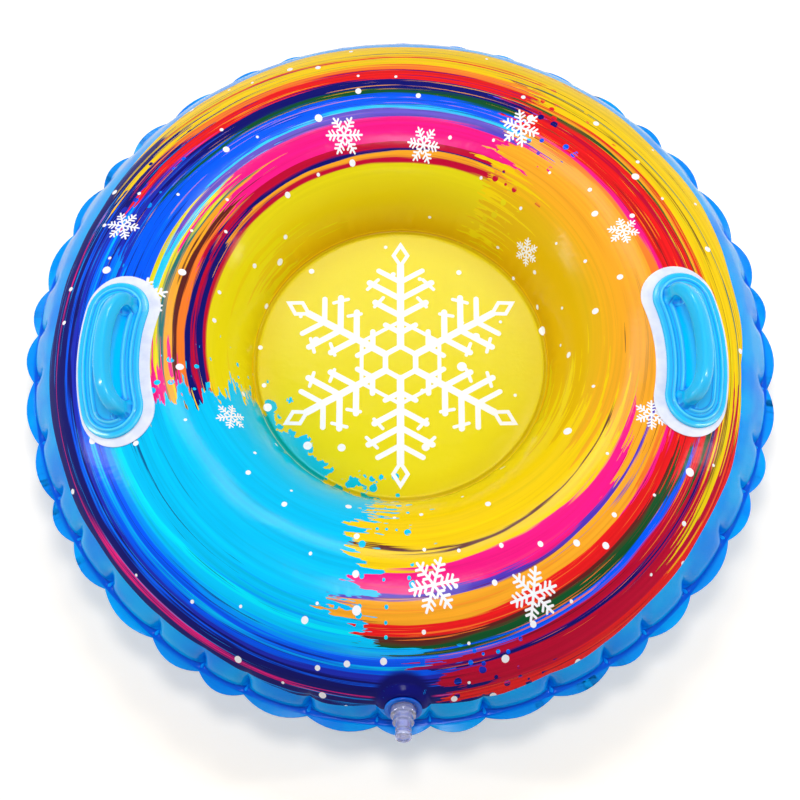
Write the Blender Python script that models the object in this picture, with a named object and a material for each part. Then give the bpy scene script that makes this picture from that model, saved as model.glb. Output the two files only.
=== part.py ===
"""Inflatable snow tube: two welded sheets, two moulded handles on patches, and an air valve.

The ring lies on its flattened underside at z = 0 with its axis upright. The valve points to -Y,
the handles sit at -X and +X, and the box around the whole tube is centred on the origin.
The pieces are built around the ring's axis, in the plane of its rim weld, and one empty carries
them all. Sizes are in metres.
"""

import math

import bmesh
import bpy
import numpy as np
from mathutils import Matrix, Vector

MM = 0.001

# Gaps between pieces that touch
WELD_GAP = 0.3 * MM
SEAT_GAP = 0.6 * MM
FIT_GAP = 0.3 * MM

# The two sheets
TOP_THICKNESS = 0.6 * MM
BOTTOM_THICKNESS = 0.8 * MM

# The inflated ring, radii from its axis and heights from the plane of the rim weld
FLOOR_WELD_RADIUS = 191.5 * MM
FLOOR_WELD_WIDTH = 8.0 * MM
CREST_RADIUS = 315.0 * MM
CREST_HEIGHT = 118.0 * MM
WALL_RADIUS = 464.0 * MM
WALL_FOOT_HEIGHT = 7.0 * MM
INNER_WALL_SLOPE = math.radians(76)
INNER_RISE_SHARE = 0.50
INNER_CREST_SHARE = 0.62
OUTER_ROUND_SHARE = 0.5523
GROUND_FLAT = 1.0 * MM
GROUND_WIDTH = 32.0 * MM

# The scalloped rim weld
LOBES = 40
FIN_ROOT_REACH = 6.0 * MM
FIN_ROOT_RADIUS = WALL_RADIUS + FIN_ROOT_REACH
CUSP_REACH = 4.6 * MM
CUSP_RADIUS = FIN_ROOT_RADIUS + CUSP_REACH
LOBE_REACH = 12.0 * MM
PUCKER_DEPTH = 4.0 * MM
PUCKER_START_SHARE = 0.5
LOBE_SWAY_SHARE = 0.12
LOBE_SWAY_TURNS = 11

# Facets of the ring
INNER_WALL_ROWS = 4
OUTER_WALL_ROWS = 6
MERIDIAN_SAMPLES = 400
SMOOTH_ANGLE = math.radians(35)

# The white patches under the handles
PATCH_LENGTH = 230.0 * MM
PATCH_WIDTH = 97.0 * MM
PATCH_THICKNESS = 1.0 * MM
PATCH_LOOP_SHARES = (1.0, 0.72, 0.44, 0.16)

# The bean outline that patches and base plates share
BEAN_BEND_RADIUS = 900.0 * MM
BEAN_ROUND_STEPS = 8
BEAN_SIDE_STEPS = 5

# The handles' places on the ring: angle, turn on the skin, and distance out from the crest
HANDLE_ANGLES = {"left": math.radians(186.8), "right": math.radians(-4.4)}
HANDLE_TWISTS = {"left": math.radians(6.9), "right": math.radians(-8.1)}
HANDLES_FROM_CREST = {"left": 44.0 * MM, "right": 48.0 * MM}

# The handles' base plate
BASE_FOOT_HEIGHT = SEAT_GAP + PATCH_THICKNESS + SEAT_GAP
BASE_LENGTH = 206.0 * MM
BASE_WIDTH = 80.0 * MM
BASE_SHIFT = 4.5 * MM
BASE_EDGE_HEIGHT = 2.2 * MM
BASE_HEIGHT = 3.6 * MM
BASE_FIELD_HEIGHT = 3.0 * MM
BASE_EDGE_WIDTH = 3.0 * MM
RIDGE_HEIGHT = 2.6 * MM
RIDGE_WIDTH = 6.0 * MM
OUTER_RIDGE_INSET = 7.0 * MM
INNER_RIDGE_INSET = 16.5 * MM
BASE_UNDERSIDE_SHARES = (1.0, 0.68, 0.4, 0.16)
BASE_CENTRE_SHARE = 0.16

# The handles' grip loop
GRIP_SPAN = 143.0 * MM
GRIP_DIAMETER = 18.5 * MM
GRIP_HEIGHT = 36.0 * MM
GRIP_ROOT_SHIFT = -13.0 * MM
GRIP_LEAN = 7.0 * MM
GRIP_ROOT_DEPTH = 1.6 * MM
GRIP_STUB = 4.5 * MM
GRIP_SQUARENESS = 2.9
GRIP_SIDES = 10
GRIP_STEPS = 20

# The valve: its place along the skin from the wall's foot, and the raised skin around it
VALVE_ANGLE = math.radians(-89.6)
VALVE_ABOVE_FOOT = 36.3 * MM
VALVE_STEPS = 24
BOSS_RADIUS = 29.0 * MM
BOSS_HEIGHT = 6.0 * MM
BOSS_FOOT_DEPTH = 9.0 * MM
BOSS_WALL = 1.1 * MM
BOSS_HOLE_RADIUS = 20.5 * MM
BOSS_ROUND_STEPS = 4
CUT_OVERRUN = 12.0 * MM

# The soft boot
LIP_RADIUS = 22.5 * MM
LIP_THICKNESS = 3.6 * MM
LIP_ROUND = 1.2 * MM
RECESS_RADIUS = 17.4 * MM
RECESS_DEPTH = 2.6 * MM
SLEEVE_BORE_RADIUS = 12.9 * MM
SLEEVE_WALL = 2.1 * MM
SLEEVE_DEPTH = 16.0 * MM
FLANGE_THICKNESS = 1.6 * MM
BOOT_WALL = 2.0 * MM

# The clear stem
COLLAR_RADIUS = 15.5 * MM
COLLAR_LENGTH = 10.0 * MM
TIER_RADIUS = 12.75 * MM
TIER_LENGTH = 10.0 * MM
NECK_RADIUS = 9.5 * MM
NECK_LENGTH = 10.5 * MM
STEP_ROUND = 1.0 * MM
NECK_BORE_RADIUS = 6.0 * MM
CHAMBER_RADIUS = 10.0 * MM
CHAMBER_TAPER = 4.0 * MM
STEM_FLOOR = 2.0 * MM
STEM_PORT_RADIUS = 7.0 * MM
STEM_OVERHANG = 2.0 * MM

# The check flap
FLAP_RADIUS = 9.2 * MM
FLAP_THICKNESS = 0.8 * MM
FLAP_STEPS = 20

# The plug
PLUG_HEAD_RADIUS = 10.0 * MM
PLUG_HEAD_LENGTH = 10.5 * MM
PLUG_WAIST_RADIUS = 8.4 * MM
PLUG_WAIST_LENGTH = 3.0 * MM
PLUG_SHANK_LENGTH = 13.5 * MM
PLUG_TIP_ROUND = 1.5 * MM


def material(name, colour, roughness, alpha=1.0, transmission=0.0):
    """A plain plastic finish in the piece's own colour."""
    finish = bpy.data.materials.new(name)
    finish.use_nodes = True
    shader = finish.node_tree.nodes["Principled BSDF"]
    shader.inputs["Base Color"].default_value = (*colour, 1.0)
    shader.inputs["Roughness"].default_value = roughness
    shader.inputs["Metallic"].default_value = 0.0
    shader.inputs["Alpha"].default_value = alpha
    shader.inputs["Transmission Weight"].default_value = transmission
    finish.diffuse_color = (*colour, alpha)
    return finish


def add_object(name, points, faces, parent, finish=None, facing=0):
    """A mesh object. Its faces point outwards, or those of an open sheet up (1) or down (-1)."""
    mesh = bpy.data.meshes.new(name)
    mesh.from_pydata([tuple(point) for point in points], [], faces)
    shape = bmesh.new()
    shape.from_mesh(mesh)
    bmesh.ops.recalc_face_normals(shape, faces=shape.faces)
    if sum(face.normal.z for face in shape.faces) * facing < 0:
        bmesh.ops.reverse_faces(shape, faces=shape.faces)
    shape.to_mesh(mesh)
    shape.free()
    mesh.shade_smooth()
    mesh.set_sharp_from_angle(angle=SMOOTH_ANGLE)
    piece = bpy.data.objects.new(name, mesh)
    bpy.context.scene.collection.objects.link(piece)
    piece.parent = parent
    if finish is not None:
        mesh.materials.append(finish)
    return piece


def add_guide(name, points, faces, parent):
    """A helper solid for a Boolean: drawn as wire and left out of the model."""
    guide = add_object(name, points, faces, parent)
    guide.hide_render = True
    guide.display_type = "WIRE"
    return guide


def combine(piece, guide, operation):
    """Join a guide to a piece, or cut it out, with an exact Boolean."""
    boolean = piece.modifiers.new(operation.title() + " " + guide.name, "BOOLEAN")
    boolean.operation = operation
    boolean.solver = "EXACT"
    boolean.object = guide


def add_empty(name, parent=None):
    """An empty that carries pieces."""
    empty = bpy.data.objects.new(name, None)
    bpy.context.scene.collection.objects.link(empty)
    empty.parent = parent
    return empty


def curve_points(ends, steps):
    """Points after the first end of a cubic curve with two guide points, in (radius, height)."""
    first, second, third, last = (np.array(end) for end in ends)
    points = []
    for step in range(1, steps + 1):
        share = step / steps
        rest = 1 - share
        point = rest**3 * first + 3 * rest**2 * share * second
        point = point + 3 * rest * share**2 * third + share**3 * last
        points.append((float(point[0]), float(point[1])))
    return points


def inner_wall(steps, foot_height):
    """The ring's section from the inner weld up to the crest, without its first point."""
    rise = (CREST_HEIGHT - foot_height) * INNER_RISE_SHARE
    run = (CREST_RADIUS - FLOOR_WELD_RADIUS) * INNER_CREST_SHARE
    ends = (
        (FLOOR_WELD_RADIUS, foot_height),
        (FLOOR_WELD_RADIUS + rise / math.tan(INNER_WALL_SLOPE), foot_height + rise),
        (CREST_RADIUS - run, CREST_HEIGHT),
        (CREST_RADIUS, CREST_HEIGHT),
    )
    return curve_points(ends, steps)


def outer_wall(steps):
    """The ring's section from the crest down to the foot of the outer wall, without its first point."""
    run = (WALL_RADIUS - CREST_RADIUS) * OUTER_ROUND_SHARE
    drop = (CREST_HEIGHT - WALL_FOOT_HEIGHT) * OUTER_ROUND_SHARE
    ends = (
        (CREST_RADIUS, CREST_HEIGHT),
        (CREST_RADIUS + run, CREST_HEIGHT),
        (WALL_RADIUS, WALL_FOOT_HEIGHT + drop),
        (WALL_RADIUS, WALL_FOOT_HEIGHT),
    )
    return curve_points(ends, steps)


class RingSkin:
    """The smooth upper skin of the ring: places on it, by angle and by distance from the crest."""

    def __init__(self):
        inner = [(FLOOR_WELD_RADIUS, 0.0)] + inner_wall(MERIDIAN_SAMPLES, 0.0)
        section = np.array(inner + outer_wall(MERIDIAN_SAMPLES))
        lengths = np.hypot(*np.diff(section, axis=0).T)
        self.section = section
        self.travel = np.concatenate(([0.0], np.cumsum(lengths)))
        self.travel = self.travel - self.travel[MERIDIAN_SAMPLES]

    def frame(self, angle, distance):
        """Origin, direction along the ring, direction out from the crest, and skin normal."""
        step = self.travel[-1] / MERIDIAN_SAMPLES
        radius, height = (np.interp(distance, self.travel, self.section[:, axis]) for axis in (0, 1))
        ahead, behind = distance + step, distance - step
        run, rise = (
            np.interp(ahead, self.travel, self.section[:, axis])
            - np.interp(behind, self.travel, self.section[:, axis])
            for axis in (0, 1)
        )
        outward = Vector((math.cos(angle), math.sin(angle), 0))
        along = Vector((-math.sin(angle), math.cos(angle), 0))
        down = (outward * run + Vector((0, 0, rise))).normalized()
        return outward * radius + Vector((0, 0, height)), along, down, along.cross(down) * -1

    def place(self, angle, distance, height):
        """A point at a height over the skin."""
        origin, _, _, normal = self.frame(angle, distance)
        return origin + normal * height


class HandleChart:
    """The skin under one handle as a flat chart: u along the handle, v out from the ring's crest."""

    def __init__(self, skin, side):
        self.skin = skin
        self.angle = HANDLE_ANGLES[side]
        self.twist = HANDLE_TWISTS[side]
        self.from_crest = HANDLES_FROM_CREST[side]
        origin, _, _, _ = skin.frame(self.angle, self.from_crest)
        self.radius = math.hypot(origin.x, origin.y)

    def place(self, u, v, height):
        """A point over the skin, from its place in the chart."""
        bent = v - u * u / (2 * BEAN_BEND_RADIUS)
        along = u * math.cos(self.twist) - bent * math.sin(self.twist)
        out = u * math.sin(self.twist) + bent * math.cos(self.twist)
        return self.skin.place(self.angle + along / self.radius, self.from_crest + out, height)


def cusp_angle(number):
    """The angle of a cusp between two lobes. The hand-made weld spaces its lobes a little unevenly."""
    spacing = math.tau / LOBES
    sway = LOBE_SWAY_SHARE * spacing * math.sin(math.tau * number * LOBE_SWAY_TURNS / LOBES)
    return (number - 0.5) * spacing + sway


def column_angles():
    """The angles of the ring's columns of points: each cusp, and the middle of each lobe."""
    angles = []
    for number in range(LOBES):
        start, end = cusp_angle(number), cusp_angle(number + 1)
        angles += [start, (start + end) / 2]
    return angles


def rim_points(height):
    """The scalloped edge, with a cusp and three points over each lobe."""
    points = []
    for number in range(LOBES):
        start, end = cusp_angle(number), cusp_angle(number + 1)
        chord_middle = CUSP_RADIUS * math.cos((end - start) / 2)
        for quarter in range(4):
            across = quarter / 2 - 1
            angle = start + (end - start) * quarter / 4
            chord = chord_middle / math.cos((end - start) / 2 * across)
            radius = chord + LOBE_REACH * (1 - across * across)
            points.append((radius * math.cos(angle), radius * math.sin(angle), height))
    return points


def ring_rows(foot_height, grounded):
    """The sheet's section as rows of (radius, height, pucker share), from the floor's edge to the fin."""
    rows = [(FLOOR_WELD_RADIUS - FLOOR_WELD_WIDTH, foot_height, 0.0)]
    rows.append((FLOOR_WELD_RADIUS, foot_height, 0.0))
    rows += [(radius, height, 0.0) for radius, height in inner_wall(INNER_WALL_ROWS, foot_height)]
    if grounded:
        ground = CREST_HEIGHT - GROUND_FLAT
        rows[-1] = (CREST_RADIUS - GROUND_WIDTH / 2, ground, 0.0)
        rows.append((CREST_RADIUS + GROUND_WIDTH / 2, ground, 0.0))
    outer = outer_wall(OUTER_WALL_ROWS)
    for number, (radius, height) in enumerate(outer, start=1):
        share = (number / OUTER_WALL_ROWS - PUCKER_START_SHARE) / (1 - PUCKER_START_SHARE)
        rows.append((radius, height, max(0.0, share)))
    rows.append((FIN_ROOT_RADIUS, foot_height, 0.0))
    return rows


def add_sheet(name, parent, finish, thickness, upward):
    """One sheet: flat floor, half of the air ring and one layer of the scalloped fin."""
    foot_height = WELD_GAP / 2 + thickness
    side = 1 if upward else -1
    angles = column_angles()
    count = len(angles)
    points = []
    for radius, height, pucker in ring_rows(foot_height, not upward):
        for number, angle in enumerate(angles):
            puffed = PUCKER_DEPTH * pucker * (1 if number % 2 else -1)
            reach = radius + puffed
            points.append((reach * math.cos(angle), reach * math.sin(angle), height * side))
    faces = [tuple(range(count))]
    row_count = len(points) // count
    for row in range(row_count - 1):
        for number in range(count):
            following = (number + 1) % count
            low, high = row * count, (row + 1) * count
            faces.append((low + number, low + following, high + following, high + number))
    root = (row_count - 1) * count
    rim = len(points)
    points += rim_points(foot_height * side)
    for number in range(count):
        following = (number + 1) % count
        start, middle, end = rim + 2 * number, rim + 2 * number + 1, rim + 2 * following
        faces.append((root + number, middle, start))
        faces.append((root + number, root + following, middle))
        faces.append((root + following, end, middle))
    sheet = add_object(name, points, faces, parent, finish, side)
    wall = sheet.modifiers.new("Sheet thickness", "SOLIDIFY")
    wall.thickness = thickness
    wall.offset = -1
    wall.use_even_offset = True
    wall.use_quality_normals = True
    return sheet


def bean_loop(length, width, round_steps, side_steps, share):
    """One closed loop of chart places, an outline with round ends drawn in to a share of its width."""
    straight = (length - width) / 2
    radius = width / 2 * share
    loop = []
    for end in (1, -1):
        for step in range(round_steps + 1):
            turn = math.pi * step / round_steps - math.pi / 2
            loop.append((end * (straight + radius * math.cos(turn)), end * radius * math.sin(turn)))
        for step in range(1, side_steps):
            along = end * straight * (1 - 2 * step / side_steps)
            loop.append((along, end * radius))
    return loop


def loop_faces(lower, upper, count):
    """Faces between two loops of points that start at the given numbers."""
    faces = []
    for number in range(count):
        following = (number + 1) % count
        faces.append((lower + number, lower + following, upper + following, upper + number))
    return faces


def cap_faces(start, round_steps, side_steps):
    """Faces that close an innermost bean loop, from its one long side to the other."""
    count = 2 * (round_steps + side_steps)
    turn = round_steps + side_steps
    first = round_steps // 2
    faces = []
    near, far = first, first
    for _ in range(turn):
        next_near, next_far = (near - 1) % count, (far + 1) % count
        corners = [near, far, next_far, next_near]
        unique = list(dict.fromkeys(corners))
        if len(unique) > 2:
            faces.append(tuple(start + corner for corner in unique))
        near, far = next_near, next_far
    return faces


def bean_solid(chart, size, rows, shift):
    """Points and faces of a bean-shaped plate from rows of (share of the width, height)."""
    length, width = size
    count = 2 * (BEAN_ROUND_STEPS + BEAN_SIDE_STEPS)
    points, faces = [], []
    for share, height in rows:
        for u, v in bean_loop(length, width, BEAN_ROUND_STEPS, BEAN_SIDE_STEPS, share):
            points.append(chart.place(u, v + shift, height))
    for row in range(len(rows) - 1):
        faces += loop_faces(row * count, (row + 1) * count, count)
    faces += cap_faces(0, BEAN_ROUND_STEPS, BEAN_SIDE_STEPS)
    faces += cap_faces((len(rows) - 1) * count, BEAN_ROUND_STEPS, BEAN_SIDE_STEPS)
    return points, faces


def add_patch(name, chart, parent, finish):
    """The thin white patch that spreads a handle's pull over the skin."""
    low, high = SEAT_GAP, SEAT_GAP + PATCH_THICKNESS
    rows = [(share, low) for share in reversed(PATCH_LOOP_SHARES)]
    rows += [(share, high) for share in PATCH_LOOP_SHARES]
    points, faces = bean_solid(chart, (PATCH_LENGTH, PATCH_WIDTH), rows, 0.0)
    return add_object(name, points, faces, parent, finish)


def base_rows():
    """Section of a handle's base plate, from the middle of its underside round to its middle field."""
    foot = BASE_FOOT_HEIGHT
    half = BASE_WIDTH / 2
    rows = [(share, foot) for share in reversed(BASE_UNDERSIDE_SHARES)]
    rows.append((1.0, foot + BASE_EDGE_HEIGHT))
    rows.append((1 - BASE_EDGE_WIDTH / half, foot + BASE_HEIGHT))
    for inset in (OUTER_RIDGE_INSET, INNER_RIDGE_INSET):
        rows.append((1 - inset / half, foot + BASE_HEIGHT))
        rows.append((1 - (inset + RIDGE_WIDTH / 2) / half, foot + BASE_HEIGHT + RIDGE_HEIGHT))
        rows.append((1 - (inset + RIDGE_WIDTH) / half, foot + BASE_HEIGHT))
    rows.append((BASE_CENTRE_SHARE, foot + BASE_FIELD_HEIGHT))
    return rows


def grip_route(chart):
    """Centre line of the grip: straight up out of the base, then over in a squared arch that leans out."""
    foot = BASE_FOOT_HEIGHT
    root = BASE_SHIFT + GRIP_ROOT_SHIFT
    points = [chart.place(GRIP_SPAN / 2, root, foot + GRIP_ROOT_DEPTH)]
    for step in range(GRIP_STEPS + 1):
        turn = math.pi * step / GRIP_STEPS
        side = math.copysign(abs(math.cos(turn)) ** (2 / GRIP_SQUARENESS), math.cos(turn))
        rise = abs(math.sin(turn)) ** (2 / GRIP_SQUARENESS)
        height = foot + GRIP_STUB + (GRIP_HEIGHT - GRIP_STUB) * rise
        points.append(chart.place(side * GRIP_SPAN / 2, root + GRIP_LEAN * rise * rise, height))
    points.append(chart.place(-GRIP_SPAN / 2, root, foot + GRIP_ROOT_DEPTH))
    return points


def tube(route, radius, sides):
    """Points and faces of a round bar along an arched route, with flat ends."""
    points, faces = [], []
    last = len(route) - 1
    chord = route[-1] - route[0]
    arch_side = chord.cross(route[last // 2] - route[0]).normalized()
    for number, centre in enumerate(route):
        ahead = route[min(number + 1, last)] - route[max(number - 1, 0)]
        upward = ahead.cross(arch_side).normalized()
        across = upward.cross(ahead).normalized()
        for side in range(sides):
            turn = math.tau * side / sides
            points.append(centre + across * (radius * math.cos(turn)) + upward * (radius * math.sin(turn)))
    for number in range(last):
        faces += loop_faces(number * sides, (number + 1) * sides, sides)
    faces.append(tuple(range(sides)))
    faces.append(tuple(range(last * sides, (last + 1) * sides)))
    return points, faces


def add_handle(name, chart, parent, finish):
    """A moulded handle: ridged base plate and grip loop in one piece."""
    points, faces = bean_solid(chart, (BASE_LENGTH, BASE_WIDTH), base_rows(), BASE_SHIFT)
    handle = add_object(name, points, faces, parent, finish)
    points, faces = tube(grip_route(chart), GRIP_DIAMETER / 2, GRIP_SIDES)
    grip = add_guide(name + "_grip_guide", points, faces, parent)
    combine(handle, grip, "UNION")
    return handle


def turned(profile, steps):
    """Points and faces of a turned solid around +Z from its (radius, height) outline, a closed loop."""
    points, faces, rings = [], [], []
    for radius, height in profile:
        start = len(points)
        turns = steps if radius > 0 else 1
        for step in range(turns):
            angle = math.tau * step / turns
            points.append((radius * math.cos(angle), radius * math.sin(angle), height))
        rings.append((start, turns))
    for number, (start, turns) in enumerate(rings):
        following, next_turns = rings[(number + 1) % len(rings)]
        if turns == 1 and next_turns == 1:
            continue
        for step in range(steps):
            step_on = (step + 1) % steps
            corners = [
                start + step % turns,
                start + step_on % turns,
                following + step_on % next_turns,
                following + step % next_turns,
            ]
            faces.append(tuple(dict.fromkeys(corners)))
    return points, faces


def boss_section(depth):
    """The raised skin's outline from its foot up to the hole's edge, at a depth under its outer face."""
    run = BOSS_RADIUS - BOSS_HOLE_RADIUS
    rise = BOSS_HEIGHT + BOSS_FOOT_DEPTH
    points = []
    for step in range(BOSS_ROUND_STEPS + 1):
        turn = math.pi / 2 * step / BOSS_ROUND_STEPS
        radius = BOSS_HOLE_RADIUS + (run - depth) * math.cos(turn)
        points.append((radius, (rise - depth) * math.sin(turn) - BOSS_FOOT_DEPTH))
    return points


def add_boss(top_sheet, valve_axis):
    """Raise the top sheet over the boot's flange and cut the hole for the boot's neck."""
    inner = boss_section(BOSS_WALL)
    middle = boss_section(BOSS_WALL / 2)
    core = [(0, -CUT_OVERRUN), (middle[0][0], -CUT_OVERRUN)] + middle
    core += [(BOSS_HOLE_RADIUS, BOSS_HEIGHT + CUT_OVERRUN), (0, BOSS_HEIGHT + CUT_OVERRUN)]
    cutter = add_guide("boss_core_guide", *turned(core, VALVE_STEPS), valve_axis)
    dome = add_guide("boss_guide", *turned(inner[::-1] + boss_section(0.0), VALVE_STEPS), valve_axis)
    combine(top_sheet, cutter, "DIFFERENCE")
    combine(top_sheet, dome, "UNION")


def boot_profile():
    """Outline of the soft boot: sleeve, domed flange under the skin, neck through it, and lip."""
    under_skin = BOSS_WALL + FIT_GAP
    lip_foot = BOSS_HEIGHT + FIT_GAP
    lip_top = lip_foot + LIP_THICKNESS
    neck = BOSS_HOLE_RADIUS - FIT_GAP
    sleeve = SLEEVE_BORE_RADIUS + SLEEVE_WALL
    flange_foot = -BOSS_FOOT_DEPTH - FLANGE_THICKNESS
    outside = [(radius, height) for radius, height in boss_section(under_skin) if radius > neck]
    outside[0] = (outside[0][0], flange_foot)
    under = [(radius, height) for radius, height in boss_section(under_skin + BOOT_WALL) if radius > neck]
    under[0] = (under[0][0], flange_foot)
    shoulder = BOSS_HEIGHT - under_skin
    profile = [(sleeve, -SLEEVE_DEPTH), (sleeve, shoulder - BOOT_WALL)] + under[::-1]
    profile += outside + [(neck, shoulder), (neck, lip_foot), (LIP_RADIUS - LIP_ROUND, lip_foot)]
    profile += [(LIP_RADIUS, lip_foot + LIP_ROUND), (LIP_RADIUS, lip_top - LIP_ROUND)]
    profile += [(LIP_RADIUS - LIP_ROUND, lip_top), (RECESS_RADIUS, lip_top)]
    profile += [(RECESS_RADIUS, lip_top - RECESS_DEPTH), (SLEEVE_BORE_RADIUS, lip_top - RECESS_DEPTH)]
    profile += [(SLEEVE_BORE_RADIUS, -SLEEVE_DEPTH)]
    return profile


def stem_heights():
    """Heights along the valve axis: collar foot, collar top, tier top, neck top and stem foot."""
    collar_foot = BOSS_HEIGHT + FIT_GAP + LIP_THICKNESS - RECESS_DEPTH + FIT_GAP
    collar_top = collar_foot + COLLAR_LENGTH
    tier_top = collar_top + TIER_LENGTH
    neck_top = tier_top + NECK_LENGTH
    return collar_foot, collar_top, tier_top, neck_top, -SLEEVE_DEPTH - STEM_OVERHANG


def insert_profile():
    """Outline of the clear stem: plain sleeve, collar, middle tier and neck, with the plug's bore."""
    collar_foot, collar_top, tier_top, neck_top, stem_foot = stem_heights()
    stem = SLEEVE_BORE_RADIUS - FIT_GAP
    bore_foot = collar_top
    return [
        (stem, stem_foot),
        (stem, collar_foot),
        (COLLAR_RADIUS, collar_foot),
        (COLLAR_RADIUS, collar_top - STEP_ROUND),
        (COLLAR_RADIUS - STEP_ROUND, collar_top),
        (TIER_RADIUS, collar_top),
        (TIER_RADIUS, tier_top - STEP_ROUND),
        (TIER_RADIUS - STEP_ROUND, tier_top),
        (NECK_RADIUS, tier_top),
        (NECK_RADIUS, neck_top),
        (NECK_BORE_RADIUS, neck_top),
        (NECK_BORE_RADIUS, bore_foot),
        (CHAMBER_RADIUS, bore_foot - CHAMBER_TAPER),
        (CHAMBER_RADIUS, stem_foot + STEM_FLOOR),
        (STEM_PORT_RADIUS, stem_foot + STEM_FLOOR),
        (STEM_PORT_RADIUS, stem_foot),
    ]


def plug_profile():
    """Outline of the plug: shank in the bore, waist, and a wider round head."""
    _, _, _, neck_top, _ = stem_heights()
    foot = neck_top + FIT_GAP
    top = foot + PLUG_HEAD_LENGTH
    shank = NECK_BORE_RADIUS - FIT_GAP
    tip = foot - PLUG_SHANK_LENGTH
    return [
        (0, tip),
        (shank - PLUG_TIP_ROUND, tip),
        (shank, tip + PLUG_TIP_ROUND),
        (shank, foot),
        (PLUG_WAIST_RADIUS, foot),
        (PLUG_WAIST_RADIUS, foot + PLUG_WAIST_LENGTH),
        (PLUG_HEAD_RADIUS, foot + PLUG_WAIST_LENGTH + STEP_ROUND),
        (PLUG_HEAD_RADIUS, top - STEP_ROUND),
        (PLUG_HEAD_RADIUS - STEP_ROUND, top),
        (0, top),
    ]


def add_flap(valve_axis, finish):
    """The check flap: a thin disc under the stem's port, its origin on its hinge line at the top."""
    *_, stem_foot = stem_heights()
    middle = stem_foot - FIT_GAP - FLAP_THICKNESS / 2
    hinge = Vector((0, FLAP_RADIUS, middle))
    outline = [(0, middle - FLAP_THICKNESS / 2), (FLAP_RADIUS, middle - FLAP_THICKNESS / 2)]
    outline += [(FLAP_RADIUS, middle + FLAP_THICKNESS / 2), (0, middle + FLAP_THICKNESS / 2)]
    points, faces = turned(outline, FLAP_STEPS)
    moved = [Vector(point) - hinge for point in points]
    flap = add_object("valve_check_flap", moved, faces, valve_axis, finish)
    flap.location = hinge
    return flap


def add_valve(skin, root, top_sheet):
    """The valve's pieces on their common axis, which stands square to the skin."""
    origin, along, down, normal = skin.frame(VALVE_ANGLE, skin.travel[-1] - VALVE_ABOVE_FOOT)
    upward = down * -1
    valve_axis = add_empty("valve_axis", root)
    turn = Matrix((along, upward, normal)).transposed().to_4x4()
    valve_axis.matrix_local = Matrix.Translation(origin) @ turn
    add_boss(top_sheet, valve_axis)
    blue = material("boot_blue", (0.01, 0.36, 0.86), 0.3)
    clear = material("stem_clear", (0.80, 0.84, 0.95), 0.08, 0.5, 0.8)
    stopper = material("plug_clear", (0.78, 0.82, 0.95), 0.1, 0.55, 0.7)
    film = material("flap_clear", (0.75, 0.85, 0.92), 0.2, 0.6, 0.6)
    add_object("valve_boot", *turned(boot_profile(), VALVE_STEPS), valve_axis, blue)
    add_object("valve_insert", *turned(insert_profile(), VALVE_STEPS), valve_axis, clear)
    add_object("valve_plug", *turned(plug_profile(), VALVE_STEPS), valve_axis, stopper)
    add_flap(valve_axis, film)


def stand_on_origin(root):
    """Move the whole tube so that its box stands centred on the origin."""
    bpy.context.view_layer.update()
    depsgraph = bpy.context.evaluated_depsgraph_get()
    corners = []
    for piece in bpy.context.scene.objects:
        if piece.type == "MESH" and not piece.hide_render:
            shaped = piece.evaluated_get(depsgraph)
            corners += [shaped.matrix_world @ vertex.co for vertex in shaped.data.vertices]
    low = Vector(min(corner[axis] for corner in corners) for axis in range(3))
    high = Vector(max(corner[axis] for corner in corners) for axis in range(3))
    middle = (low + high) / 2
    root.location -= Vector((middle.x, middle.y, low.z))
    bpy.context.view_layer.update()


def main():
    """Build the snow tube."""
    for item in list(bpy.data.objects):
        bpy.data.objects.remove(item, do_unlink=True)
    root = add_empty("ring_axis")
    skin = RingSkin()
    printed = material("printed_skin", (0.90, 0.62, 0.05), 0.22)
    blue = material("blue_base_skin", (0.0, 0.22, 0.80), 0.25)
    white = material("patch_white", (0.85, 0.88, 0.97), 0.3)
    sky = material("handle_sky_blue", (0.05, 0.52, 0.92), 0.18)
    top_sheet = add_sheet("top_sheet", root, printed, TOP_THICKNESS, True)
    add_sheet("bottom_sheet", root, blue, BOTTOM_THICKNESS, False)
    for side in HANDLE_ANGLES:
        chart = HandleChart(skin, side)
        add_patch("handle_patch_" + side, chart, root, white)
        add_handle("handle_" + side, chart, root, sky)
    add_valve(skin, root, top_sheet)
    stand_on_origin(root)


if __name__ == "__main__":
    main()
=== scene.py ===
"""Looks of an inflatable snow tube, dressed around its fixed frame.

The printed upper sheet, the plain blue lower sheet, the two moulded handles on their white patches
and the clear air valve are each modelled as a fine mesh in the place of the frame's plain solid.
Each sheet starts as the flat disc that it is cut from, and is then blown up into its half of the ring.
Sizes are in metres.
"""

import logging
import math
from dataclasses import dataclass, field, replace
from enum import Enum
from functools import cached_property
from typing import Callable, Iterable, Sequence, Union

import bmesh
import bpy
import numpy as np
from mathutils import Matrix, Vector


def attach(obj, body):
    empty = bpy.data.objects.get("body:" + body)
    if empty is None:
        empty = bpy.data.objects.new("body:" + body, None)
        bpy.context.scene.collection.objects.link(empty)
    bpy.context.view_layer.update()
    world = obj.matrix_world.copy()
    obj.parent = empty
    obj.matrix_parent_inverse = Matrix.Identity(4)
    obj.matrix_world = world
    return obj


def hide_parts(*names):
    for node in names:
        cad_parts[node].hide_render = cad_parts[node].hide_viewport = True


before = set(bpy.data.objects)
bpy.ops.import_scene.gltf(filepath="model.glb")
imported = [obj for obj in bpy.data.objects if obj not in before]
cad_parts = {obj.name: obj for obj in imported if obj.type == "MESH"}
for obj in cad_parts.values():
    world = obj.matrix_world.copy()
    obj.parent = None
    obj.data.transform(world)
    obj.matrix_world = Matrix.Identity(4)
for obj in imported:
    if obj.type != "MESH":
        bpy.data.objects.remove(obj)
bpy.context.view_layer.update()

MM = 0.001
LOG = logging.getLogger("snow_tube")

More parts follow.
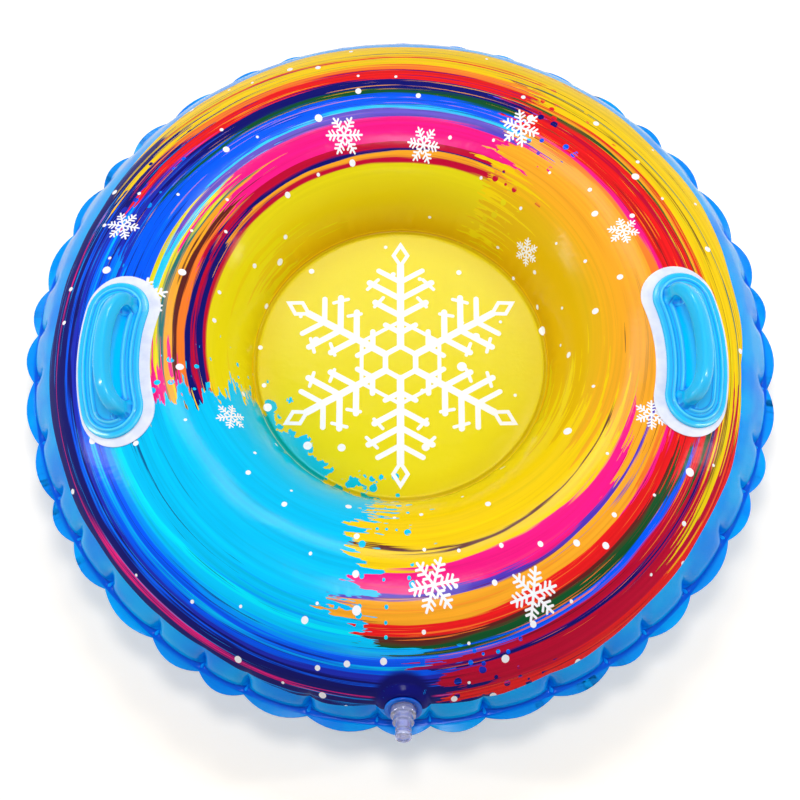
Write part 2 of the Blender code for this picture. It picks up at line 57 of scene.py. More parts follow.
Array = np.ndarray
Finish = bpy.types.Material
Piece = bpy.types.Object
Socket = bpy.types.NodeSocket
Value = Union[float, Sequence[float], Socket]
Pair = tuple[float, float]
Triple = tuple[float, float, float]
Colour = tuple[float, float, float, float]
Shape = tuple[list, list]
Painted = tuple[Socket, Value, Socket]

NOISE_RANGE: Pair = (0.3, 0.7)
PATCHY: Pair = (0.35, 0.7)
SOFT_BEND = math.radians(60)
MOULDED_BEND = math.radians(48)
TURNED_BEND = math.radians(50)
WAVE_START = 2.4


class Ink(Enum):
    """The print's inks, the plastics' own colours and colours of painted light and shade, as display values
    of 0 to 255.
    """

    YELLOW = (236, 220, 20)
    SUN = (252, 210, 12)
    GOLD = (232, 186, 14)
    AMBER = (255, 172, 40)
    ORANGE = (255, 128, 44)
    RED = (238, 26, 30)
    CRIMSON = (196, 6, 52)
    MAROON = (110, 8, 40)
    PINK = (255, 24, 136)
    VIOLET = (84, 58, 196)
    NAVY = (8, 10, 112)
    INDIGO = (30, 46, 190)
    BLUE = (0, 92, 255)
    AZURE = (0, 150, 255)
    CYAN = (0, 200, 255)
    AQUA = (0, 228, 255)
    TEAL = (0, 110, 110)
    GREEN = (10, 84, 40)
    BROWN = (96, 34, 30)
    WHITE = (250, 250, 255)
    FILM_BLUE = (0, 174, 255)
    FILM_SHADE = (0, 142, 250)
    FIN_BLUE = (0, 98, 228)
    # Painted highlight along the fin's rim.
    FIN_RIM_HIGHLIGHT = (8, 156, 250)
    # Painted shade for the corner at the foot of the wall.
    WALL_FOOT_SHADE_BLUE = (0, 66, 196)
    SKY = (0, 194, 255)
    # Painted highlight on the handles' ridges and painted shade in their hollows.
    SKY_HIGHLIGHT = (100, 224, 255)
    SKY_SHADE = (0, 140, 236)
    PATCH = (236, 238, 252)
    PATCH_SHADE = (222, 226, 246)
    LAVENDER = (224, 229, 255)
    LAVENDER_DEEP = (190, 199, 252)
    # Painted shade towards the clear parts' rims.
    LAVENDER_RIM_SHADE = (104, 122, 206)
    BOOT_BLUE = (0, 124, 240)
    BOOT_DEEP = (0, 64, 190)

    @property
    def linear(self) -> Colour:
        """The colour as the linear red, green, blue and alpha that shaders take."""
        shares = (part / 255 for part in self.value)
        parts = (((part + 0.055) / 1.055) ** 2.4 if part > 0.04 else part / 12.92 for part in shares)
        return (*parts, 1.0)


class Side(Enum):
    """The two handles' sides of the ring."""

    LEFT = "left"
    RIGHT = "right"


class Graph:
    """Short ways to add linked nodes to one shader tree."""

    def __init__(self, tree: bpy.types.NodeTree) -> None:
        """Work on the node tree of a material or world."""
        self.tree = tree

    def feed(self, socket: Socket, value: Value) -> None:
        """Link a socket to another, or set its own value.

        Args:
            socket: The input.
            value: Another socket, or a plain value.
        """
        if isinstance(value, bpy.types.NodeSocket):
            self.tree.links.new(value, socket)
        else:
            socket.default_value = value

    def node(self, kind: str, values: dict[str, Value], **settings: object) -> bpy.types.Node:
        """Add a node.

        Args:
            kind: The node's type name.
            values: What feeds its named inputs.
            settings: Its own properties.

        Returns:
            The new node.
        """
        made = self.tree.nodes.new(kind)
        for name, setting in settings.items():
            setattr(made, name, setting)
        for name, value in values.items():
            self.feed(made.inputs[name], value)
        return made

    def step(self, kind: str, operation: str, values: Iterable[Value]) -> bpy.types.Node:
        """Add a node that does one step of arithmetic.

        Args:
            kind: The node's type name.
            operation: The step's name.
            values: What feeds its inputs, in order.

        Returns:
            The new node.
        """
        made = self.tree.nodes.new(kind)
        made.operation = operation
        for socket, value in zip(made.inputs, values):
            self.feed(socket, value)
        return made

    def math(self, operation: str, *values: Value) -> Socket:
        """One step of arithmetic on up to three values."""
        return self.step("ShaderNodeMath", operation, values).outputs[0]

    def chain(self, operation: str, values: Iterable[Value]) -> Socket:
        """One operation over a row of values: their sum, product, least or greatest.

        Args:
            operation: Its name.
            values: The row.

        Returns:
            The result.
        """
        result, *rest = values
        for value in rest:
            result = self.math(operation, result, value)
        return result

    def total(self, *values: Value) -> Socket:
        """The sum of several values."""
        return self.chain("ADD", values)

    def both(self, *values: Value) -> Socket:
        """Where all of several masks hold, or the product of several values."""
        return self.chain("MULTIPLY", values)

    def either(self, *values: Value) -> Socket:
        """Where any of several masks holds."""
        return self.chain("MAXIMUM", values)

    def vector(self, operation: str, *values: Value) -> bpy.types.Node:
        """One step of vector arithmetic, as its node."""
        return self.step("ShaderNodeVectorMath", operation, values)

    def dot(self, first: Value, second: Value) -> Socket:
        """The dot product of two vectors."""
        return self.vector("DOT_PRODUCT", first, second).outputs["Value"]

    def length(self, vector: Value) -> Socket:
        """The length of a vector."""
        return self.vector("LENGTH", vector).outputs["Value"]

    def scaled(self, vector: Value, factor: Value) -> Socket:
        """A vector times one factor.

        Args:
            vector: The vector.
            factor: The factor.

        Returns:
            The product.
        """
        made = self.vector("SCALE", vector)
        self.feed(made.inputs["Scale"], factor)
        return made.outputs["Vector"]

    def combine(self, first: Value, second: Value, third: Value = 0.0) -> Socket:
        """A vector from its three parts."""
        return self.node("ShaderNodeCombineXYZ", {"X": first, "Y": second, "Z": third}).outputs[0]

    def parts(self, vector: Value) -> tuple[Socket, Socket, Socket]:
        """The three parts of a vector."""
        return tuple(self.node("ShaderNodeSeparateXYZ", {"Vector": vector}).outputs)

    def noise(self, vector: Value, scale: float, detail: float = 2.0, rough: float = 0.5) -> Socket:
        """Smooth noise from 0 to 1."""
        values = {"Vector": vector, "Scale": scale, "Detail": detail, "Roughness": rough}
        return self.node("ShaderNodeTexNoise", values).outputs[0]

    def cells(self, place: Socket, size: float, spread: float) -> bpy.types.Node:
        """Flat cells about one point each, of about that size, as their node."""
        values = {"Vector": place, "Scale": 1 / size, "Randomness": spread}
        return self.node("ShaderNodeTexVoronoi", values, voronoi_dimensions="2D")

    def ease(self, value: Value, low: Value, high: Value) -> Socket:
        """A smooth step from 0 at the low value to 1 at the high one."""
        values = {"Value": value, "From Min": low, "From Max": high}
        return self.node("ShaderNodeMapRange", values, interpolation_type="SMOOTHSTEP").outputs[0]

    def span(self, value: Value, low: float, high: float, to_low: float, to_high: float) -> Socket:
        """A value carried from one range to another, and held at its ends."""
        values = {"Value": value, "From Min": low, "From Max": high, "To Min": to_low, "To Max": to_high}
        return self.node("ShaderNodeMapRange", values).outputs[0]

    def off(self, value: Value, middle: float) -> Socket:
        """How far a value lies from a middle one."""
        return self.math("ABSOLUTE", self.math("SUBTRACT", value, middle))

    def mix(self, factor: Value, first: Value, second: Value, blend: str = "MIX") -> Socket:
        """A blend of two colours.

        Args:
            factor: The second colour's share.
            first: The first colour.
            second: The second colour.
            blend: How they are blended.

        Returns:
            The blend.
        """
        made = self.tree.nodes.new("ShaderNodeMix")
        made.data_type = "RGBA"
        made.blend_type = blend
        for socket, value in zip((made.inputs[0], made.inputs[6], made.inputs[7]), (factor, first, second)):
            self.feed(socket, value)
        return made.outputs[2]

    def ramp(self, value: Value, stops: Sequence[tuple[float, Ink]]) -> Socket:
        """Inks along a value from 0 to 1, blended from stop to stop.

        Args:
            value: The value.
            stops: Places from 0 to 1 and their inks, 32 at most.

        Returns:
            The colour.
        """
        made = self.node("ShaderNodeValToRGB", {"Fac": value})
        elements = made.color_ramp.elements
        while len(elements) < len(stops):
            elements.new(1.0)
        for element, (place, ink) in zip(elements, stops):
            element.position = place
            element.color = ink.linear
        return made.outputs[0]

    def bump(self, height: Value, distance: float, strength: float = 1.0) -> Socket:
        """A normal that follows a height from 0 to 1, times the distance in metres."""
        values = {"Height": height, "Strength": strength, "Distance": distance}
        return self.node("ShaderNodeBump", values).outputs[0]

    def object_place(self) -> Socket:
        """The place on the object, in metres."""
        return self.node("ShaderNodeTexCoord", {}).outputs["Object"]


@dataclass(frozen=True)
class Plastic:
    """A plastic's finish: gloss and clearness are constants, colour and grain come from nodes."""

    name: str
    roughness: float = 0.22
    specular: float = 0.4
    coat: float = 0.0
    coat_roughness: float = 0.06
    transmission: float = 0.0
    ior: float = 1.5
    subsurface: float = 0.0
    subsurface_depth: float = 4 * MM
    gloss_range: Pair = (0.8, 1.25)

    def make(self, paint: Callable[[Graph], Painted]) -> Finish:
        """Make the material.

        Args:
            paint: Adds the nodes, and gives what feeds the colour, the roughness and the normal.

        Returns:
            The finished material.
        """
        made = bpy.data.materials.new(self.name)
        made.use_nodes = True
        graph = Graph(made.node_tree)
        shader = made.node_tree.nodes["Principled BSDF"]
        constants = {
            "Metallic": 0.0,
            "Specular IOR Level": self.specular,
            "Coat Weight": self.coat,
            "Coat Roughness": self.coat_roughness,
            "Transmission Weight": self.transmission,
            "IOR": self.ior,
            "Subsurface Weight": self.subsurface,
            "Subsurface Scale": self.subsurface_depth,
        }
        for name, value in constants.items():
            shader.inputs[name].default_value = value
        for name, value in zip(("Base Color", "Roughness", "Normal"), paint(graph)):
            graph.feed(shader.inputs[name], value)
        return made

    def uneven_gloss(self, graph: Graph, place: Socket, scale: float) -> Socket:
        """Roughness that drifts a little over the surface."""
        smoother, rougher = (self.roughness * share for share in self.gloss_range)
        return graph.span(graph.noise(place, scale, 4.0), *NOISE_RANGE, smoother, rougher)


@dataclass(frozen=True)
class MottledPlastic(Plastic):
    """A moulded or extruded plastic of one hue that drifts a little in colour, with a fine grain and optional
    painted light and shade.
    """

    ink: Ink = Ink.WHITE
    shade: Ink = Ink.WHITE
    drift_size: float = 45 * MM
    grain: float = 1.5 * MM
    grain_height: float = 0.02 * MM
    # Colour of a painted highlight on crests, and of painted shade in hollows.
    crest: Ink | None = None
    hollow_shade: Ink | None = None
    rim_shade: Ink | None = None
    highlight_bend: Pair = (0.508, 0.545)
    shade_bend: Pair = (0.495, 0.465)
    rim_shade_slant: Pair = (0.35, 0.95)

    def build(self) -> Finish:
        """Make the material."""
        return self.make(self.paint)

    def paint(self, graph: Graph) -> Painted:
        """Nodes of the drift in colour and gloss, of any painted highlights and shade, and of the grain.

        Args:
            graph: The material's nodes.

        Returns:
            What feeds the colour, the roughness and the normal.
        """
        place = graph.object_place()
        drift = graph.noise(place, 1 / self.drift_size, 3.0)
        colour = graph.mix(graph.ease(drift, *PATCHY), self.ink.linear, self.shade.linear)
        # A painted highlight on crests and painted shade in hollows, found by how sharply the surface bends.
        if self.crest and self.hollow_shade:
            bend = graph.node("ShaderNodeNewGeometry", {}).outputs["Pointiness"]
            colour = graph.mix(graph.ease(bend, *self.highlight_bend), colour, self.crest.linear)
            colour = graph.mix(graph.ease(bend, *self.shade_bend), colour, self.hollow_shade.linear)
        # Painted shade that darkens the surface where it turns away from the view, towards its rims.
        if self.rim_shade:
            slant = graph.node("ShaderNodeLayerWeight", {"Blend": 0.5}).outputs["Facing"]
            colour = graph.mix(graph.ease(slant, *self.rim_shade_slant), colour, self.rim_shade.linear)
        grain = graph.bump(graph.noise(place, 1 / self.grain, 2.0), self.grain_height)
        return colour, self.uneven_gloss(graph, place, 2 / self.drift_size), grain


@dataclass(frozen=True)
class ClearPlastic(MottledPlastic):
    """A clear moulding of the valve, a little bluish, with painted shade that darkens it towards its rims."""

    specular: float = 0.8
    coat: float = 1.0
    ink: Ink = Ink.LAVENDER
    shade: Ink = Ink.LAVENDER_DEEP
    drift_size: float = 7 * MM
    rim_shade: Ink | None = Ink.LAVENDER_RIM_SHADE


def cubic(ends: Sequence[Pair], steps: int) -> Array:
    """Points along a cubic curve with two guide points, its first end left out.

    Args:
        ends: The first end, both guide points and the last end.
        steps: How many points.

    Returns:
        The points.
    """
    share = (np.arange(1, steps + 1) / steps)[:, None]
    rest = 1 - share
    weights = (rest**3, 3 * rest**2 * share, 3 * rest * share**2, share**3)
    return sum(weight * np.array(end) for weight, end in zip(weights, ends))


def smooth(value: Array, low: float, high: float) -> Array:
    """A smooth step from 0 at the low value to 1 at the high one."""
    share = np.clip((value - low) / (high - low), 0, 1)
    return share * share * (3 - 2 * share)


def mound(value: Array, middle: float, width: float) -> Array:
    """A bell-shaped rise of height 1 and about that width."""
    return np.exp(-(((value - middle) / (width / 2)) ** 2))


def signed_power(value: float, power: float) -> float:
    """A power of a value's size, with the value's sign."""
    return math.copysign(abs(value) ** power, value)


def add_mesh(name: str, shape: Shape, *finishes: Finish) -> Piece:
    """A smooth mesh object.

    Args:
        name: The piece's name.
        shape: Its points, and the point numbers of its faces.
        finishes: Its materials, the first one on every face.

    Returns:
        The new object, linked to the scene.
    """
    points, faces = shape
    mesh = bpy.data.meshes.new(name)
    corners = [tuple(map(int, face)) for face in faces]
    mesh.from_pydata([tuple(map(float, point)) for point in points], [], corners)
    mesh.shade_smooth()
    for finish in finishes:
        mesh.materials.append(finish)
    piece = bpy.data.objects.new(name, mesh)
    bpy.context.scene.collection.objects.link(piece)
    return piece


def between(outer: Sequence[int], inner: Sequence[int]) -> list[tuple[int, int, int, int]]:
    """Faces between two closed loops of points, by the points' numbers.

    Args:
        outer: Point numbers of one loop.
        inner: Point numbers of the other.

    Returns:
        The faces.
    """
    count = len(outer)
    sides = ((start, (start + 1) % count) for start in range(count))
    return [(outer[start], outer[end], inner[end], inner[start]) for start, end in sides]


def close_up(piece: Piece, crisp_angle: float) -> None:
    """Join points of a closed mesh that fall together, turn its faces out and mark its crisp edges.

    Args:
        piece: The piece.
        crisp_angle: The bend from which an edge is crisp.
    """
    solid = bmesh.new()
    solid.from_mesh(piece.data)
    bmesh.ops.remove_doubles(solid, verts=solid.verts, dist=0.01 * MM)
    bmesh.ops.dissolve_degenerate(solid, dist=0.005 * MM, edges=solid.edges)
    bmesh.ops.recalc_face_normals(solid, faces=solid.faces)
    solid.to_mesh(piece.data)
    solid.free()
    piece.data.set_sharp_from_angle(angle=crisp_angle)


def hand_over(piece: Piece, body: str, slot: str, *nodes: str) -> Piece:
    """Let a piece ride on a body and stand for its nodes, and report it.

    Args:
        piece: The piece.
        body: The body that it rides on.
        slot: Its material slot; not used.
        nodes: The frame's nodes that it stands for.

    Returns:
        The piece.
    """
    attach(piece, body)
    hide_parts(*nodes)
    LOG.info("%s: %d faces, rides on %s", piece.name, len(piece.data.polygons), body)
    return piece


@dataclass(frozen=True)
class ValveSeat:
    """Where the valve stands on the skin, and the raised skin around it."""

    angle: float = math.radians(-89.6)
    above_foot: float = 36.3 * MM
    hole_radius: float = 20.5 * MM
    crown_radius: float = 22 * MM
    boss_radius: float = 33 * MM
    boss_height: float = 6 * MM
    boss_fullness: float = 1.15
    calm_radius: float = 62 * MM


@dataclass(frozen=True)
class RingForm:
    """The inflated ring's skin. Radii are from its axis, heights from the plane of the rim weld.

    A place on the skin is an angle around the axis and a distance from the axis along the flat sheet.
    A bead is its distance out from the floor's weld, its width and its share of the height. Waves are
    counted around the whole ring.
    """

    centre: Triple = (0.347 * MM, 9.974 * MM, 117 * MM)
    floor_weld_radius: float = 191.5 * MM
    crest_radius: float = 315 * MM
    crest_height: float = 118 * MM
    wall_radius: float = 464 * MM
    wall_foot_height: float = 7 * MM
    foot_height: float = 0.75 * MM
    under_foot_height: float = 0.95 * MM
    inner_wall_slope: float = math.radians(76)
    inner_rise_share: float = 0.5
    inner_crest_share: float = 0.62
    outer_round_share: float = 0.5523
    inner_steps: int = 300
    outer_steps: int = 400
    toe_steps: int = 40
    toe_lift: float = 1 * MM
    foot_margin: float = 4 * MM
    lobes: int = 40
    cusp_radius: float = 474.6 * MM
    lobe_reach: float = 12 * MM
    lobe_sway_share: float = 0.12
    lobe_sway_turns: int = 11
    weld_inset: float = 1.2 * MM
    fin_width: float = 13 * MM
    fin_ripple: float = 0.8 * MM
    fin_waves: tuple[int, ...] = (7, 12, 19)
    lobe_puff: float = 6.5 * MM
    pillow_squareness: float = 2.4
    pillow_fullness: float = 0.8
    crease_depth: float = 8.5 * MM
    crease_length: float = 56 * MM
    crease_fade: float = 2.0
    crease_spread: Pair = (0.24, 0.5)
    crease_sharpness: float = 1.6
    weld_groove: float = 0.12 * MM
    weld_groove_width: float = 3 * MM
    bead_height: float = 1.0 * MM
    beads: tuple[Triple, ...] = ((1.6 * MM, 3 * MM, 1.0), (-2.4 * MM, 3 * MM, -0.7), (-6 * MM, 2.8 * MM, 0.7))
    pucker_height: float = 0.7 * MM
    pucker: Pair = (17 * MM, 36 * MM)
    pucker_start: float = 8 * MM
    pucker_waves: tuple[int, ...] = (31, 44, 57, 73)
    floor_wave: float = 0.5 * MM
    floor_waves: tuple[int, ...] = (2, 3, 5, 9)
    floor_wave_drift: float = 70.0
    floor_middle: Pair = (10 * MM, 150 * MM)
    floor_edge: Pair = (-14 * MM, -5 * MM)
    wall_wave: float = 0.5 * MM
    wall_waves: tuple[int, ...] = (3, 5, 8, 13)
    wall_wave_drift: float = 30.0
    wall_start: Pair = (210 * MM, 260 * MM)
    wall_end: float = 60 * MM
    normal_step: float = 1.5 * MM
    valve: ValveSeat = ValveSeat()

    def under(self) -> "RingForm":
        """The lower sheet's form, measured downwards, with beads and waves that follow this one's."""
        follow = {name: -getattr(self, name) for name in ("floor_wave", "fin_ripple", "bead_height")}
        return replace(self, foot_height=self.under_foot_height, **follow)

    @cached_property
    def section(self) -> Array:
        """The smooth section, as radius and height, from the axis to the rim weld.

        Returns:
            An array of points.
        """
        rise = (self.crest_height - self.foot_height) * self.inner_rise_share
        run = (self.crest_radius - self.floor_weld_radius) * self.inner_crest_share
        start = (self.floor_weld_radius, self.foot_height)
        crest = (self.crest_radius, self.crest_height)
        guide = (self.floor_weld_radius + rise / math.tan(self.inner_wall_slope), self.foot_height + rise)
        inner = cubic((start, guide, (crest[0] - run, crest[1]), crest), self.inner_steps)
        out = (self.wall_radius - self.crest_radius) * self.outer_round_share
        drop = (self.crest_height - self.wall_foot_height) * self.outer_round_share
        foot = (self.wall_radius, self.wall_foot_height)
        outer = cubic((crest, (crest[0] + out, crest[1]), (foot[0], foot[1] + drop), foot), self.outer_steps)
        weld = (self.cusp_radius - self.weld_inset, self.foot_height)
        reach = (weld[0] - foot[0]) / 2
        guides = ((foot[0], weld[1] + self.toe_lift), (weld[0] - reach, weld[1]))
        toe = cubic((foot, *guides, weld), self.toe_steps)
        return np.vstack(([(0, self.foot_height), start], inner, outer, toe))

    @cached_property
    def travel(self) -> Array:
        """Distances from the axis along the section, one for each of its points."""
        return np.concatenate(([0.0], np.cumsum(np.hypot(*np.diff(self.section, axis=0).T))))

    @property
    def crest_travel(self) -> float:
        """Distance along the sheet from the axis to the crest."""
        return float(self.travel[1 + self.inner_steps])

    @property
    def foot_travel(self) -> float:
        """Distance along the sheet from the axis to the foot of the outer wall."""
        return float(self.travel[1 + self.inner_steps + self.outer_steps])

    @property
    def weld_travel(self) -> float:
        """Distance along the sheet from the axis to the rim weld."""
        return float(self.travel[-1])

    @property
    def valve_travel(self) -> float:
        """Distance along the sheet from the axis to the valve."""
        return self.foot_travel - self.valve.above_foot

    def radius_at(self, travel: float) -> float:
        """Radius of the smooth skin at a distance along the sheet."""
        return float(np.interp(travel, self.travel, self.section[:, 0]))

    def cusp_angle(self, number: Array) -> Array:
        """The angle of the cusp before each lobe. The hand-made weld spaces its lobes a little unevenly.

        Args:
            number: Numbers of lobes.

        Returns:
            The angles.
        """
        spacing = math.tau / self.lobes
        sway = self.lobe_sway_share * spacing * np.sin(math.tau * number * self.lobe_sway_turns / self.lobes)
        return (number - 0.5) * spacing + sway

    def across_lobe(self, angle: Array) -> tuple[Array, Array]:
        """Where angles lie in their lobes.

        Args:
            angle: Angles around the ring's axis.

        Returns:
            The place across the lobe, from -1 to 1, and the lobe's width as an angle.
        """
        cusps = self.cusp_angle(np.arange(self.lobes + 1))
        turned = cusps[0] + np.mod(angle - cusps[0], math.tau)
        lobe = np.clip(np.searchsorted(cusps, turned, side="right") - 1, 0, self.lobes - 1)
        width = cusps[lobe + 1] - cusps[lobe]
        return np.clip(2 * (turned - cusps[lobe]) / width - 1, -1, 1), width

    @staticmethod
    def waves(angle: Array, drift: Array, counts: Sequence[int]) -> Array:
        """Gentle unevenness of about -1 to 1, in whole waves that each start at a place of their own.

        Args:
            angle: Angles around the axis.
            drift: How far the waves are turned.
            counts: Waves around the ring.

        Returns:
            Their sum.
        """
        total = np.zeros_like(angle + drift)
        for count in counts:
            total = total + np.sin(count * (angle + WAVE_START) + (count % 5 - 2) * drift)
        return total / math.sqrt(len(counts))

    def base(self, travel: Array) -> tuple[Array, Array, Array, Array]:
        """The smooth section at distances along the sheet.

        Args:
            travel: Distances from the axis along the flat sheet.

        Returns:
            Radius, height, and the outward and upward parts of the skin's normal.
        """
        here, ahead, behind = (
            [np.interp(travel + shift, self.travel, self.section[:, axis]) for axis in (0, 1)]
            for shift in (0, self.normal_step, -self.normal_step)
        )
        run, rise = ahead[0] - behind[0], ahead[1] - behind[1]
        length = np.maximum(np.hypot(run, rise), 1e-9)
        return here[0], here[1], -rise / length, run / length

    def seat_chart(self, angle: Array, travel: Array) -> tuple[Array, Array]:
        """Places around the valve: along the ring, and up towards the crest."""
        turned = np.mod(angle - self.valve.angle + math.pi, math.tau) - math.pi
        return turned * self.radius_at(self.valve_travel), self.valve_travel - travel

    @cached_property
    def valve_frame(self) -> Matrix:
        """The valve's place on the skin, its Z square to it and its Y up towards the crest.

        Returns:
            The place as a matrix.
        """
        radius, height, out, up = (float(part) for part in self.base(np.array(self.valve_travel)))
        outward = Vector((math.cos(self.valve.angle), math.sin(self.valve.angle), 0))
        normal = outward * out + Vector((0, 0, up))
        along = Vector((-outward.y, outward.x, 0))
        turn = Matrix((along, normal.cross(along), normal)).transposed().to_4x4()
        return Matrix.Translation(outward * radius + Vector((0, 0, height))) @ turn

    def lobe_puffing(self, angle: Array, travel: Array) -> Array:
        """How far the film swells out in each lobe's middle and is drawn in at its cusps.

        Args:
            angle: Angles around the axis.
            travel: Distances from the axis along the flat sheet.

        Returns:
            Heights over the smooth section.
        """
        across, _ = self.across_lobe(angle)
        start, foot = self.foot_travel - self.crease_length, self.foot_travel
        reach = smooth(travel, start, foot - self.foot_margin) ** self.crease_fade
        reach = reach * (1 - smooth(travel, foot - 1 * MM, self.weld_travel - 1 * MM))
        least, wider = self.crease_spread
        spread = least + wider * (1 - smooth(travel, start, foot))
        crease = np.maximum(0, 1 - (1 - np.abs(across)) / spread) ** self.crease_sharpness
        pillow = (1 - np.abs(across) ** self.pillow_squareness) ** self.pillow_fullness
        near = np.hypot(*self.seat_chart(angle, travel))
        calm = smooth(near, self.valve.crown_radius, self.valve.calm_radius)
        return (self.lobe_puff * pillow - self.crease_depth * crease) * reach * calm

    def weld_relief(self, angle: Array, travel: Array) -> Array:
        """Height of the welds' beads and grooves, and of the puckers that they draw into the film.

        Args:
            angle: Angles around the axis.
            travel: Distances from the axis along the flat sheet.

        Returns:
            Heights over the smooth section.
        """
        off_weld = travel - self.floor_weld_radius
        bead = sum(share * mound(off_weld, middle, width) for middle, width, share in self.beads)
        pucker = mound(off_weld, *self.pucker) * smooth(off_weld, 0, self.pucker_start)
        gathered = self.waves(angle, travel * 0, self.pucker_waves) * pucker
        groove = mound(travel, self.weld_travel, self.weld_groove_width)
        return self.bead_height * bead + self.pucker_height * gathered - self.weld_groove * groove

    def slackness(self, angle: Array, travel: Array) -> Array:
        """Slow waves of the slack floor and the ring's wall.

        Args:
            angle: Angles around the axis.
            travel: Distances from the axis along the flat sheet.

        Returns:
            Heights over the smooth section.
        """
        floor = 1 - smooth(travel - self.floor_weld_radius, *self.floor_edge)
        floor = floor * smooth(travel, *self.floor_middle)
        wall = smooth(travel, *self.wall_start)
        wall = wall * (1 - smooth(travel, self.foot_travel - self.wall_end, self.foot_travel))
        ripple = self.waves(angle, travel * self.floor_wave_drift, self.floor_waves) * floor
        swell = self.waves(angle, travel * self.wall_wave_drift, self.wall_waves) * wall
        return self.floor_wave * ripple + self.wall_wave * swell

    def relief(self, angle: Array, travel: Array) -> Array:
        """Height of the inflated skin over its smooth section."""
        parts = (self.lobe_puffing, self.weld_relief, self.slackness)
        return sum(part(angle, travel) for part in parts)

    def skin(self, angle: Array, travel: Array, lift: float = 0.0, ground: float = math.inf) -> Array:
        """Points of the inflated skin, around the ring's axis.

        Args:
            angle: Angles around the axis.
            travel: Distances from the axis along the flat sheet.
            lift: Distance outwards from the skin.
            ground: Greatest height, where the sheet is pressed flat.

        Returns:
            An array of points.
        """
        radius, height, out, up = self.base(travel)
        across, width = self.across_lobe(angle)
        raised = self.relief(angle, travel) + lift
        radius = radius + out * raised
        height = np.minimum(height + up * raised, ground)
        chord = self.cusp_radius * (np.cos(width / 2) / np.cos(width / 2 * across) - 1)
        radius = radius + chord * smooth(travel, self.foot_travel - self.foot_margin, self.weld_travel)
        fin = np.clip((travel - self.weld_travel) / self.fin_width, 0, 1)
        radius = radius + fin * (self.lobe_reach * (1 - across**2) + self.weld_inset)
        height = height + fin * self.fin_ripple * self.waves(angle, travel * 0, self.fin_waves)
        return np.stack([radius * np.cos(angle), radius * np.sin(angle), height], -1)

    def skin_with_boss(self, angle: Array, travel: Array, lift: float = 0.0) -> Array:
        """Points of the skin with the raised boss over the valve's flange.

        Args:
            angle: Angles around the axis.
            travel: Distances from the axis along the flat sheet.
            lift: Distance outwards from the skin.

        Returns:
            An array of points.
        """
        points = self.skin(angle, travel, lift)
        along, up = self.seat_chart(angle, travel)
        valve = self.valve
        slope = (np.hypot(along, up) - valve.crown_radius) / (valve.boss_radius - valve.crown_radius)
        weight = ((1 - np.clip(slope, 0, 1) ** 2) ** valve.boss_fullness)[..., None]
        crown = np.stack([along, up, np.full_like(along, valve.boss_height + lift)], -1)
        raised = crown @ np.array(self.valve_frame.to_3x3()).T + np.array(self.valve_frame.translation)
        return points + (raised - points) * weight


@dataclass(frozen=True)
class SheetRows:
    """How densely each stretch of a sheet is meshed, from the axis outwards."""

    first: float = 10 * MM
    weld_sides: Pair = (-9 * MM, 5 * MM)
    margin: float = 2 * MM
    floor: int = 10
    floor_weld: int = 16
    inner_wall: int = 15
    crown: int = 9
    creases: int = 19
    toe: int = 11
    fin: int = 5
    columns_per_lobe: int = 14

    def travels(self, form: RingForm) -> Array:
        """Distances along the flat sheet of all rows of points, in order.

        Args:
            form: The ring's form.

        Returns:
            The distances.
        """
        weld = form.floor_weld_radius
        ends = (
            (self.first, self.floor),
            (weld + self.weld_sides[0], self.floor_weld),
            (weld + self.weld_sides[1], self.inner_wall),
            (form.crest_travel, self.crown),
            (form.foot_travel - form.crease_length, self.creases),
            (form.foot_travel - self.margin, self.toe),
            (form.weld_travel + self.margin, self.fin),
            (form.weld_travel + form.fin_width, 1),
        )
        runs = [
            np.linspace(start, end, count, endpoint=False) for (start, count), (end, _) in zip(ends, ends[1:])
        ]
        return np.concatenate([*runs, [ends[-1][0]]])

    def angles(self, form: RingForm) -> Array:
        """Angles of all columns of points, in order and closer together near the cusps.

        Args:
            form: The ring's form.

        Returns:
            The angles.
        """
        shares = np.arange(self.columns_per_lobe) / self.columns_per_lobe
        across = (1 - np.cos(math.pi * shares)) / 2
        cusps = form.cusp_angle(np.arange(form.lobes + 1))
        return (cusps[:-1, None] + np.diff(cusps)[:, None] * across).ravel()


